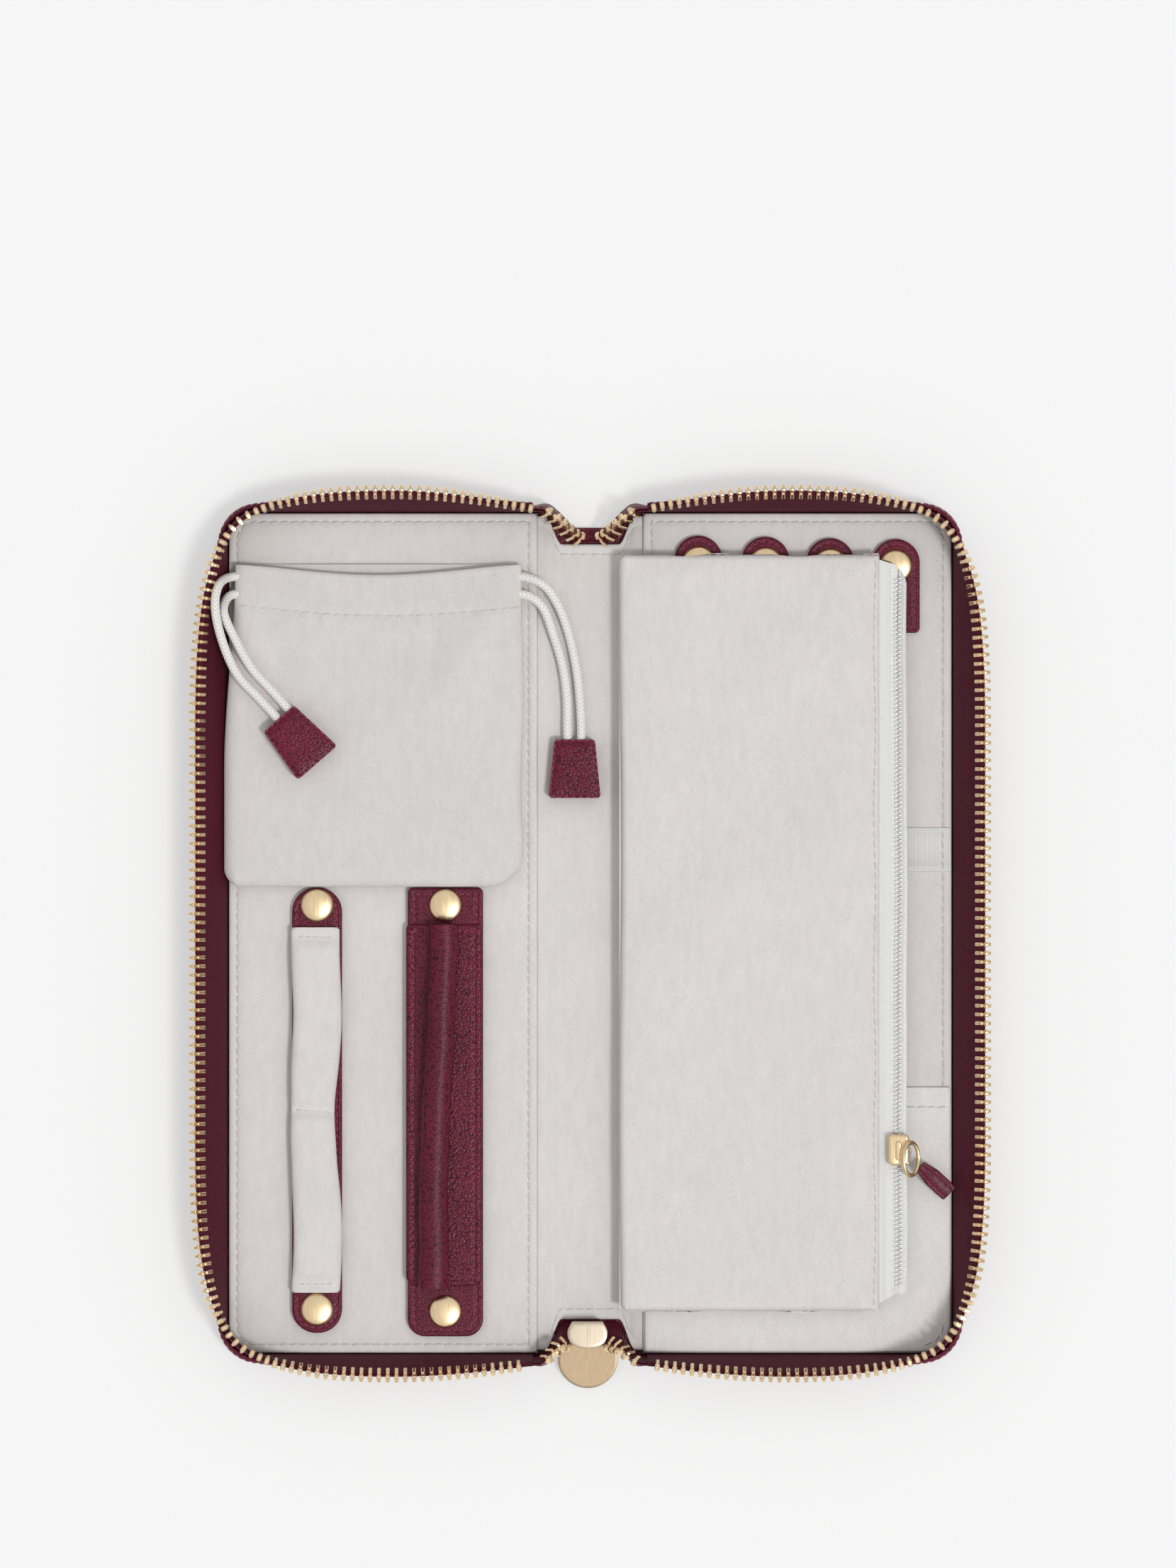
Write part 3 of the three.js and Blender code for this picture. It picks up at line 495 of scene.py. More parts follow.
def surface(
    columns: int,
    rows: int,
    place: Place,
    size: tuple[float, float] = (1.0, 1.0),
    marks: Sequence[float] = (),
) -> Shape:
    """A grid moved onto a surface.

    Args:
        columns: faces along the first direction.
        rows: faces along the second direction.
        place: gives a point from the two shares, each from 0 to 1.
        size: the lengths that the UV map gives the two directions, in metres.
        marks: where each row stands along the second direction, in millimetres, if they are uneven.

    Returns:
        The open surface.
    """
    bm = bmesh.new()
    uv = bm.loops.layers.uv.new("UVMap")
    bmesh.ops.create_grid(bm, x_segments=columns, y_segments=rows, size=1.0)
    for face in bm.faces:
        for loop in face.loops:
            u, v = (loop.vert.co.x + 1) / 2, (loop.vert.co.y + 1) / 2
            along = marks[round(v * rows)] * MM if marks else v * size[1]
            loop[uv].uv = (u * size[0], along)
    for vert in bm.verts:
        vert.co = place((vert.co.x + 1) / 2, (vert.co.y + 1) / 2)
    return bm


def sealed(bm: Shape, distance: float = 1e-4) -> Shape:
    """Merges doubles, fills the holes that are left and turns every face outwards.

    Args:
        bm: the mesh.
        distance: how close two vertices are doubles.

    Returns:
        The same mesh, closed.
    """
    bmesh.ops.remove_doubles(bm, verts=bm.verts, dist=distance)
    bmesh.ops.dissolve_degenerate(bm, edges=bm.edges, dist=distance)
    open_edges = [edge for edge in bm.edges if edge.is_boundary]
    if open_edges:
        bmesh.ops.holes_fill(bm, edges=open_edges, sides=0)
    bmesh.ops.recalc_face_normals(bm, faces=bm.faces)
    return bm


def swept(
    stations: int,
    profile: Profile,
    place: Callable[[float, float, float], Vector],
    length: float,
) -> Shape:
    """A closed profile carried along a run.

    Args:
        stations: how many steps the run takes.
        profile: the closed profile's points.
        place: gives a point from the share of the run and the profile's two values.
        length: the run's length, for the UV map.

    Returns:
        The closed solid, with U along the run and V round the profile.
    """
    count = len(profile)
    around = Run([(*p, 0) for p in profile], closed=True)

    def point(u: float, v: float) -> Vector:
        """The point at a share of the run and a share of the way round the profile."""
        return place(u, *profile[round(v * count) % count])

    bm = surface(stations, count, point, (length * MM, 1.0), around.marks)
    return sealed(bm)


def plate(plan: Plate | Outline | Block, rings: Profile) -> Shape:
    """A plate whose edge steps through rings of a plan.

    Args:
        plan: the plan.
        rings: (inset, height) of each ring, from the underside round the edge to the top.

    Returns:
        The closed plate.
    """
    lines = [plan.ring(inset, z) for inset, z in rings]
    count = len(lines[0])

    def point(u: float, v: float) -> Vector:
        """The point at a share of the way round and a share of the rings."""
        return lines[round(v * (len(rings) - 1))][round(u * count) % count]

    return sealed(surface(count, len(rings) - 1, point))


def pillow(columns: int, rows: int, plan: Place, over: Amount, under: Amount) -> Shape:
    """A soft closed form whose upper and lower faces meet all round.

    Args:
        columns: faces across.
        rows: faces along, on each of the two sides.
        plan: the plan point at two shares.
        over: the height of the upper face over a plan point.
        under: the height of the lower face under a plan point.

    Returns:
        The closed form.
    """

    def point(u: float, v: float) -> Vector:
        """The point at a share across and a share of the way over the top and back under."""
        upper = v <= 0.5
        spot = plan(u, 2 * v if upper else 2 - 2 * v)
        return Vector((spot.x, spot.y, (over if upper else under)(spot.x, spot.y)))

    return sealed(surface(columns, 2 * rows, point), 1e-3)


def tube(run: Run, radius: Amount, stations: int, sides: int) -> Shape:
    """A tube round a run that is never upright.

    Args:
        run: the centre line.
        radius: the radius at a distance along the run and a share of a turn.
        stations: steps along the run.
        sides: steps round it.

    Returns:
        The closed tube.
    """

    def point(u: float, v: float) -> Vector:
        """The point at a share of the run and a share of a turn."""
        distance = u * run.length
        ahead = run.way(distance)
        across = ahead.cross(UP).normalized()
        up = across.cross(ahead)
        turn = math.tau * v
        spread = radius(distance, v)
        return run.at(distance) + (across * math.cos(turn) + up * math.sin(turn)) * spread

    return sealed(surface(stations, sides, point, (run.length * MM, math.tau * radius(0, 0) * MM)))


def turned(profile: Profile, x: float, y: float, steps: int = 48) -> Shape:
    """A profile of (radius, height) spun round an upright axis.

    Args:
        profile: the points, the first and last of them on the axis.
        x: where the axis stands, across.
        y: where the axis stands, along.
        steps: steps of the full turn.

    Returns:
        The closed solid.
    """
    bm = bmesh.new()
    verts = [bm.verts.new((radius, 0, z)) for radius, z in profile]
    edges = [bm.edges.new(pair) for pair in zip(verts, verts[1:])]
    spun(bm, verts + edges, steps)
    bmesh.ops.translate(bm, vec=(x, y, 0), verts=bm.verts)
    return sealed(bm)


def spun(bm: Shape, line: Sequence[bmesh.types.BMElem], steps: int) -> None:
    """Spins a line's vertices and edges a full turn round the upright axis."""
    turn = {"cent": (0, 0, 0), "axis": UP, "angle": math.tau, "steps": steps}
    bmesh.ops.spin(bm, geom=line, use_merge=True, **turn)


def absorb(bm: Shape, other: Shape, matrix: Matrix | None = None) -> None:
    """Adds a copy of one mesh to another.

    Args:
        bm: the mesh that grows.
        other: the mesh that is copied.
        matrix: where the copy goes.
    """
    mesh = bpy.data.meshes.new("part")
    other.to_mesh(mesh)
    if matrix is not None:
        mesh.transform(matrix)
    bm.from_mesh(mesh)
    bpy.data.meshes.remove(mesh)


def scatter(shape: Shape, places: Iterable[Matrix]) -> Shape:
    """Copies of a shape at some places, as one mesh.

    Args:
        shape: the shape, which is freed.
        places: a matrix for each copy.

    Returns:
        The copies.
    """
    bm = bmesh.new()
    for matrix in places:
        absorb(bm, shape, matrix)
    shape.free()
    return bm


def put(name: str, data: bpy.types.ID) -> bpy.types.Object:
    """Puts an object of some data into the scene.

    Args:
        name: its name.
        data: its data.

    Returns:
        The object.
    """
    made = bpy.data.objects.new(name, data)
    bpy.context.scene.collection.objects.link(made)
    return made


def piece(
    name: str,
    bm: Shape,
    finish: Finish,
    body: str,
    stands_for: Sequence[str] = (),
    sharp: float = 50.0,
) -> bpy.types.Object:
    """Makes a finished object of a mesh in millimetres.

    Args:
        name: the piece's name.
        bm: its mesh, which is freed.
        finish: its finish.
        body: the body that it rides on, or "" where it is blended later.
        stands_for: the frame nodes that it replaces.
        sharp: the angle in degrees past which an edge shades sharp.

    Returns:
        The object, at the origin.
    """
    bmesh.ops.scale(bm, vec=(MM, MM, MM), verts=bm.verts)
    mesh = bpy.data.meshes.new(name)
    bm.to_mesh(mesh)
    bm.free()
    mesh.shade_smooth()
    mesh.set_sharp_from_angle(angle=math.radians(sharp))
    mesh.materials.append(finish.material())
    made = put(name, mesh)
    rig.slot(made, finish.slot)
    if body:
        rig.ride(made, body)
    if stands_for:
        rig.replaces(made, *stands_for)
    log.info("%s: %d faces", name, len(mesh.polygons))
    return made


# Finishes


class Nodes:
    """A material's or a world's shader nodes, added and linked in short calls."""

    def __init__(self, owner: bpy.types.Material | bpy.types.World, shader: str = "Principled BSDF") -> None:
        """Starts from the shader that the owner has.

        Args:
            owner: the material or the world.
            shader: the name of its shader's node.
        """
        owner.use_nodes = True
        self.owner = owner
        self.tree = owner.node_tree
        self.shader = self.tree.nodes[shader]

    def add(self, kind: str, **settings: object) -> bpy.types.Node:
        """Adds a node.

        Args:
            kind: the node's type.
            settings: its properties, or its inputs by name with _ for a space.

        Returns:
            The node.
        """
        node = self.tree.nodes.new(kind)
        for key, value in settings.items():
            if hasattr(node, key):
                setattr(node, key, value)
            else:
                node.inputs[key.replace("_", " ")].default_value = value
        return node

    def link(self, source: Socket, target: Socket) -> None:
        """Links two sockets."""
        self.tree.links.new(source, target)

    def place(self, scale: float | Spot, uv: bool = False) -> Socket:
        """Object or UV coordinates, scaled.

        Args:
            scale: how many units a metre becomes, for all axes or for each.
            uv: whether the UV map is read.

        Returns:
            The coordinates' socket.
        """
        source = self.add("ShaderNodeTexCoord")
        spread = self.add("ShaderNodeMapping")
        spread.inputs["Scale"].default_value = scale if isinstance(scale, tuple) else (scale,) * 3
        self.link(source.outputs["UV" if uv else "Object"], spread.inputs["Vector"])
        return spread.outputs["Vector"]

    def noise(self, where: Socket, detail: float = 3.0) -> Socket:
        """Fractal noise.

        Args:
            where: the coordinates, already scaled.
            detail: its octaves.

        Returns:
            The noise's socket, about 0 to 1.
        """
        node = self.add("ShaderNodeTexNoise", Scale=1.0, Detail=detail)
        self.link(where, node.inputs["Vector"])
        return node.outputs["Fac"]

    def sums(self, operation: str, *values: Socket | float) -> Socket:
        """Works with values.

        Args:
            operation: the Math node's operation.
            values: its inputs, each a socket or a number.

        Returns:
            The result's socket.
        """
        node = self.add("ShaderNodeMath", operation=operation)
        for slot, value in zip(node.inputs, values):
            if isinstance(value, (int, float)):
                slot.default_value = value
            else:
                self.link(value, slot)
        return node.outputs[0]

    def ramp(self, value: Socket, stops: Sequence[tuple[float, Colour]]) -> Socket:
        """Spreads colours over a value.

        Args:
            value: the value.
            stops: (value, colour) of each stop.

        Returns:
            The colour's socket.
        """
        node = self.add("ShaderNodeValToRGB")
        elements = node.color_ramp.elements
        while len(elements) < len(stops):
            elements.new(0.5)
        for element, (position, colour) in zip(elements, stops):
            element.position = position
            element.color = (*colour, 1)
        self.link(value, node.inputs["Fac"])
        return node.outputs["Color"]

    def paint(self, value: Socket, colour: Colour, *stops: tuple[float, float]) -> None:
        """Colours the shader by a value, in shades of one colour given as (position, factor)."""
        shades = [(position, shade(colour, factor)) for position, factor in stops]
        self.link(self.ramp(value, shades), self.shader.inputs["Base Color"])

    def bump(self, height: Socket, distance: float) -> None:
        """Adds a relief to those that the shader has.

        Args:
            height: its height, from 0 to 1.
            distance: the height of 1, in millimetres.
        """
        node = self.add("ShaderNodeBump", Strength=1.0, Distance=distance * MM)
        self.link(height, node.inputs["Height"])
        before = self.shader.inputs["Normal"].links
        if before:
            self.link(before[0].from_socket, node.inputs["Normal"])
        self.link(node.outputs["Normal"], self.shader.inputs["Normal"])

    def shine(self, **values: object) -> None:
        """Sets the shader's own sockets by name, with _ for a space."""
        for key, value in values.items():
            self.shader.inputs[key.replace("_", " ")].default_value = value


def shade(colour: Colour, factor: float) -> Colour:
    """A colour made darker or lighter."""
    return tuple(clamp(c * factor, 0, 1) for c in colour)


@dataclass(frozen=True)
class Finish:
    """A named finish, which builds its material once."""

    name: str
    slot: str
    colour: Colour
    roughness: float = 0.6

    def material(self) -> bpy.types.Material:
        """The finish's material.

        Returns:
            The material, which is new at the finish's first use.
        """
        known = bpy.data.materials.get(self.name)
        if known is None:
            known = bpy.data.materials.new(self.name)
            self.build(Nodes(known))
        return known

    def build(self, nodes: Nodes) -> None:
        """Builds the material, which each kind of finish does in its own way.

        Args:
            nodes: the new material's nodes.
        """
        raise NotImplementedError


@dataclass(frozen=True)
class Leather(Finish):
    """Leather with a pebbled or a smooth grain."""

    grain: float = 0.95
    depth: float = 0.16

    def build(self, nodes: Nodes) -> None:
        """Pebbles with painted shade in their valleys and a painted highlight on their tops, under finer creases.

        Args:
            nodes: the new material's nodes.
        """
        warp = nodes.sums("MULTIPLY", nodes.noise(nodes.place(900)), 0.7)
        where = nodes.place(1000 / self.grain)
        moved = nodes.add("ShaderNodeVectorMath", operation="ADD")
        nodes.link(where, moved.inputs[0])
        nodes.link(warp, moved.inputs[1])
        cells = nodes.add("ShaderNodeTexVoronoi", feature="SMOOTH_F1", Scale=1.0, Smoothness=0.2)
        nodes.link(moved.outputs[0], cells.inputs["Vector"])
        valley = nodes.sums("POWER", cells.outputs["Distance"], 1.6)
        tops = nodes.sums("SUBTRACT", 1.0, valley)
        cloud = nodes.noise(nodes.place(60), 2.0)
        # The tone darkens the pebble valleys as painted shade and lightens the tops as a painted highlight, over random
        # mottling.
        tone = nodes.sums("ADD", nodes.sums("MULTIPLY", tops, 0.75), nodes.sums("MULTIPLY", cloud, 0.35))
        nodes.paint(tone, self.colour, (0.3, 0.3), (0.7, 1.0), (1.0, 1.6))
        fine = nodes.noise(nodes.place(3200), 4.0)
        rough = nodes.sums("MULTIPLY_ADD", fine, 0.24, self.roughness - 0.12)
        nodes.link(rough, nodes.shader.inputs["Roughness"])
        nodes.bump(tops, self.depth)
        nodes.bump(fine, 0.03)
        nodes.shine(Specular_IOR_Level=0.2)


@dataclass(frozen=True)
class Velvet(Finish):
    """Short-pile velvet, softly mottled."""

    def build(self, nodes: Nodes) -> None:
        """Pile brushed one way or the other in soft patches, with a sandy nap.

        Args:
            nodes: the new material's nodes.
        """
        patches = nodes.noise(nodes.place(45), 3.0)
        nap = nodes.noise(nodes.place(2600), 3.0)
        brushed = nodes.noise(nodes.place((500, 160, 500)), 3.0)
        tone = nodes.sums("MULTIPLY_ADD", nap, 0.6, nodes.sums("MULTIPLY", patches, 0.15))
        tone = nodes.sums("MULTIPLY_ADD", brushed, 0.25, tone)
        nodes.paint(tone, self.colour, (0.3, 0.84), (0.7, 1.09))
        nodes.bump(nap, 0.05)
        nodes.bump(brushed, 0.04)
        nodes.shine(Roughness=self.roughness, Specular_IOR_Level=0.2)
        nodes.shine(Sheen_Weight=0.12, Sheen_Roughness=0.4)


@dataclass(frozen=True)
class Herringbone(Finish):
    """Woven tape or braid: slanted ribs that turn about at each column's edge. V runs across the tape."""

    column: float = 1.7
    rib: float = 0.62
    depth: float = 0.12
    # How strongly the ribs' painted shade and painted highlight show in the colour.
    contrast: float = 0.55
    thread: float = 0.42

    def build(self, nodes: Nodes) -> None:
        """Ribs of thread from the UV map, in metres, coloured with painted shade in the grooves and a painted highlight
        on the ribs.

        Args:
            nodes: the new material's nodes.
        """
        split = nodes.add("ShaderNodeSeparateXYZ")
        nodes.link(nodes.place(1000, uv=True), split.inputs[0])
        slant = nodes.sums("PINGPONG", split.outputs["Y"], self.column)
        along = nodes.sums("DIVIDE", nodes.sums("ADD", split.outputs["X"], slant), self.rib)
        wave = nodes.sums("SINE", nodes.sums("MULTIPLY", along, math.tau))
        thread = nodes.sums("SINE", nodes.sums("MULTIPLY", split.outputs["Y"], math.tau / self.thread))
        height = nodes.sums("MULTIPLY_ADD", thread, 0.25, wave)
        height = nodes.sums("MULTIPLY_ADD", height, 0.4, 0.5)
        fuzz = nodes.noise(nodes.place(4000), 2.0)
        # The colour follows the rib height: painted shade in the grooves and a painted highlight on the crests, with
        # random fuzz.
        tone = nodes.sums("MULTIPLY_ADD", fuzz, 0.3, nodes.sums("MULTIPLY", height, 0.7))
        nodes.paint(tone, self.colour, (0.15, 1 - self.contrast), (0.85, 1 + self.contrast * 0.6))
        nodes.bump(height, self.depth)
        nodes.shine(Roughness=self.roughness, Specular_IOR_Level=0.2)


@dataclass(frozen=True)
class Metal(Finish):
    """Plated metal, brushed along one axis."""

    brushed: Spot = (2200.0, 160.0, 2200.0)
    scratch: float = 0.012

    def build(self, nodes: Nodes) -> None:
        """Fine lines of slightly unlike shine.

        Args:
            nodes: the new material's nodes.
        """
        lines = nodes.noise(nodes.place(self.brushed), 3.0)
        nodes.paint(lines, self.colour, (0.3, 0.9), (0.7, 1.06))
        rough = nodes.sums("MULTIPLY_ADD", lines, 0.16, self.roughness - 0.08)
        nodes.link(rough, nodes.shader.inputs["Roughness"])
        nodes.bump(lines, self.scratch)
        nodes.shine(Metallic=1.0)


@dataclass(frozen=True)
class Thread(Finish):
    """Twisted thread, cord or elastic yarn."""

    twist: float = 2600.0

    def build(self, nodes: Nodes) -> None:
        """Fibres of slightly unlike tone.

        Args:
            nodes: the new material's nodes.
        """
        fibres = nodes.noise(nodes.place(self.twist), 3.0)
        nodes.paint(fibres, self.colour, (0.3, 0.8), (0.7, 1.06))
        nodes.bump(fibres, 0.04)
        nodes.shine(Roughness=self.roughness, Specular_IOR_Level=0.25)


@dataclass(frozen=True)
class Ribbed(Finish):
    """Elastic webbing, ribbed across its length."""

    rib: float = 0.5

    def build(self, nodes: Nodes) -> None:
        """Fine ribs along Y from the object's own coordinates, coloured darker in the troughs as painted shade.

        Args:
            nodes: the new material's nodes.
        """
        split = nodes.add("ShaderNodeSeparateXYZ")
        nodes.link(nodes.place(1000), split.inputs[0])
        turns = nodes.sums("MULTIPLY", split.outputs["X"], math.tau / self.rib)
        wave = nodes.sums("MULTIPLY_ADD", nodes.sums("SINE", turns), 0.5, 0.5)
        fuzz = nodes.noise(nodes.place(2500), 2.0)
        # The colour follows the rib height: darker in the troughs as painted shade, with random fuzz.
        tone = nodes.sums("MULTIPLY_ADD", fuzz, 0.4, nodes.sums("MULTIPLY", wave, 0.6))
        nodes.paint(tone, self.colour, (0.2, 0.78), (0.8, 1.05))
        nodes.bump(wave, 0.1)
        nodes.shine(Roughness=self.roughness, Specular_IOR_Level=0.2)


@dataclass(frozen=True)
class Paperboard(Finish):
    """The stiffening board between cover and lining."""

    def build(self, nodes: Nodes) -> None:
        """Flecked grey board.

        Args:
            nodes: the new material's nodes.
        """
        flecks = nodes.noise(nodes.place(900), 4.0)
        nodes.paint(flecks, self.colour, (0.35, 0.8), (0.65, 1.1))
        nodes.bump(flecks, 0.05)
        nodes.shine(Roughness=self.roughness)


WINE, DARK_WINE = (0.118, 0.007, 0.024), (0.112, 0.008, 0.024)
PEBBLED = Leather("pebbled leather", "pebbled_leather", WINE, 0.3, grain=0.68, depth=0.12)
GRAINED = Leather("fine grain leather", "pebbled_leather", DARK_WINE, 0.34, grain=0.55, depth=0.08)
SMOOTH = Leather("smooth leather", "smooth_leather", (0.11, 0.010, 0.027), 0.36, grain=0.7, depth=0.05)
VELVET = Velvet("pale velvet", "velvet", (0.69, 0.66, 0.64), 0.95)
# The pouch's velvet is a darker copy of the lining's velvet: painted shade.
POUCH_PAINTED_SHADE_VELVET = Velvet("pouch velvet", "velvet", (0.655, 0.628, 0.613), 0.95)
# The pocket's velvet is a lighter copy of the lining's velvet: painted light.
POCKET_PAINTED_LIGHT_VELVET = Velvet("pocket velvet", "velvet", (0.76, 0.735, 0.715), 0.95)
TAPE = Herringbone("woven zip tape", "woven_zip_tape", (0.105, 0.008, 0.024), 0.6, 2.2, 0.75, 0.26, 0.85)
NYLON = Herringbone("nylon zip tape", "nylon_zip", (0.8, 0.8, 0.785), 0.5, 1.55, 0.55, 0.1, 0.2)
COIL = Thread("nylon coil", "nylon_zip", (0.97, 0.97, 0.96), 0.4, 900.0)
TEETH = Metal("rose gold teeth", "rose_gold", (1.0, 0.74, 0.47), 0.2, (900.0, 900.0, 900.0), 0.006)
PULLER = Metal("rose gold puller", "rose_gold", (0.46, 0.345, 0.225), 0.45)
SLIDER = Metal("pale gold slider", "pale_gold", (0.62, 0.53, 0.41), 0.42)
SATIN = Metal("satin gold", "satin_gold", (0.88, 0.68, 0.42), 0.3)
BRAID = Herringbone("braided cord", "braided_cord", (0.8, 0.78, 0.75), 0.8, 0.92, 1.15, 0.08, 0.2)
ELASTIC = Ribbed("ribbed elastic", "elastic", (0.8, 0.8, 0.785), 0.8)
GREY_THREAD = Thread("grey thread", "velvet", (0.62, 0.6, 0.58), 0.7)
WINE_THREAD = Thread("wine thread", "pebbled_leather", (0.27, 0.045, 0.09), 0.4)
BOARD = Paperboard("grey board", "grey_board", (0.33, 0.29, 0.23), 0.9)


# Stitching


@dataclass(frozen=True)
class Seam:
    """A row of stitches, each a short raised stretch of thread that leans a little across its line."""

    pitch: float = 3.0
    stitch: float = 2.5
    thread: float = 0.5
    lean: float = 7.0
    finish: Finish = GREY_THREAD

    def sew(self, name: str, runs: Sequence[Run], body: str) -> bpy.types.Object:
        """Sews along runs.

        Args:
            name: the piece's name.
            runs: the lines, on the surface that carries them.
            body: the body that the thread rides on.

        Returns:
            All the stitches as one piece.
        """
        places = []
        for run in runs:
            count = max(1, round(run.length / self.pitch))
            places += [self._place(run, (i + 0.5) * run.length / count) for i in range(count)]
        stitch = bmesh.new()
        bmesh.ops.create_uvsphere(stitch, u_segments=8, v_segments=6, radius=0.5)
        return piece(name, scatter(stitch, places), self.finish, body, sharp=180)

    def _place(self, run: Run, middle: float) -> Matrix:
        """Lays a ball out as the stitch about a distance along a run.

        Args:
            run: the line that is sewn.
            middle: how far along it the stitch's middle is.

        Returns:
            The ball's place, with its length and its thickness.
        """
        ahead = run.way(middle, self.stitch / 2)
        side = UP.cross(ahead).normalized()
        ahead = (Matrix.Rotation(math.radians(self.lean), 3, "Z") @ ahead).normalized()
        up = ahead.cross(side).normalized()
        axes = Matrix((ahead * self.stitch, side * self.thread, up * self.thread))
        return Matrix.Translation(run.at(middle)) @ axes.transposed().to_4x4()


LINING_SEAM = Seam()
LEATHER_SEAM = Seam(2.1, 1.75, 0.5, 4.0, WINE_THREAD)


# The case


@dataclass(frozen=True)
class CasePlan:
    """The case's plan and levels, which the frame's solids have too."""

    spine_half: float = 15.3
    foot_outer: float = 105.5
    foot_half: float = 122.5
    foot_radius: float = 8.5
    lining_gap: float = 0.4
    cover_top: float = 1.2
    board_top: float = 3.0
    lining_top: float = LINING_TOP
    spine_top: float = 3.0
    wall_height: float = 18.0
    tape_top: float = 15.0
    tape_thickness: float = 0.9
    gusset_top: float = 10.5
    gusset_inside: float = 1.2
    gusset_outside: float = 2.4
    flare_power: float = 1.3
    fold_reach: float = 4.0
    spine_end_half: float = 13.0
    cover_shoulder: float = 124.2
    lining_shoulder: float = 121.4
    notch_head: float = 113.2
    notch_foot: float = 112.4
    notch_half: float = 8.3


@dataclass(frozen=True)
class ToothLine:
    """The tooth line of one half at the top of its wall, from the spine at the head round to the foot."""

    start_x: float = 16.6
    head_x: float = 57.7
    outer: float = 116.0
    side_half: float = 60.0
    head_half: float = 129.0
    start_head: float = 122.6
    start_foot: float = 124.8
    corner_pull: float = 50.0
    corner_share: float = 0.88
    steps: int = 60

    def run(self) -> Run:
        """The tooth line of the right half, in the plan.

        Returns:
            The line, from the head round to the foot.
        """
        third = (self.head_x - self.start_x) / 3
        reach = self.head_half - self.side_half
        pull = self.corner_pull * reach / (self.outer - self.head_x) * self.corner_share
        top, side = self.head_half, self.side_half
        near, far, bent = self.start_x + third, self.head_x - third, self.head_x + self.corner_pull
        head_turn = mix(self.start_head, top, 0.6)
        foot_turn = mix(self.start_foot, top, 0.6)
        spans = [
            [(self.start_x, self.start_head), (near, head_turn), (far, top), (self.head_x, top)],
            [(self.head_x, top), (bent, top), (self.outer, side + pull), (self.outer, side)],
            [(self.outer, side), (self.outer, side / 3), (self.outer, -side / 3), (self.outer, -side)],
            [(self.outer, -side), (self.outer, -side - pull), (bent, -top), (self.head_x, -top)],
            [(self.head_x, -top), (far, -top), (near, -foot_turn), (self.start_x, -self.start_foot)],
        ]
        points: list[Vector] = []
        for span in spans:
            corners = [Vector((x, y, 0)) for x, y in span]
            points += interpolate_bezier(*corners, self.steps)[1 if points else 0 :]
        return Run(points)


class Wall:
    """The wall round one half, seen from its tooth line."""

    def __init__(self, plan: CasePlan, side: Side) -> None:
        """Lays out the wall of a half.

        Args:
            plan: the case.
            side: the half.
        """
        self.plan = plan
        self.side = side
        self.line = ToothLine().run()
        self.length = self.line.length

    def point(self, distance: float, height: float, offset: float) -> Vector:
        """A point of the wall.

        Args:
            distance: along the tooth line.
            height: above the table.
            offset: outwards from the tape's inner face.

        Returns:
            The point.
        """
        plan = self.plan
        tip = self.line.at(distance)
        corner_x, corner_y = plan.foot_outer - plan.foot_radius, plan.foot_half - plan.foot_radius
        centre = Vector((min(tip.x, corner_x), clamp(tip.y, -corner_y, corner_y), 0))
        outward = (tip - centre).normalized()
        share = max(0.0, (height - plan.lining_top) / (plan.wall_height - plan.lining_top))
        spot = (centre + outward * plan.foot_radius).lerp(tip, share**plan.flare_power) + outward * offset
        return Vector((self.side.value * spot.x, spot.y, height))

    def sweep(self, profile: Profile, spacing: float = 1.2) -> Shape:
        """A closed profile of (height, offset) points carried round the wall."""
        return swept(
            round(self.length / spacing),
            profile,
            lambda u, height, offset: self.point(u * self.length, height, offset),
            self.length,
        )

    def run_at(self, height: float, offset: float, step: float = 1.5) -> Run:
        """A run round the wall at a height and an offset."""
        count = round(self.length / step)
        return Run(self.point(i / count * self.length, height, offset) for i in range(count + 1))


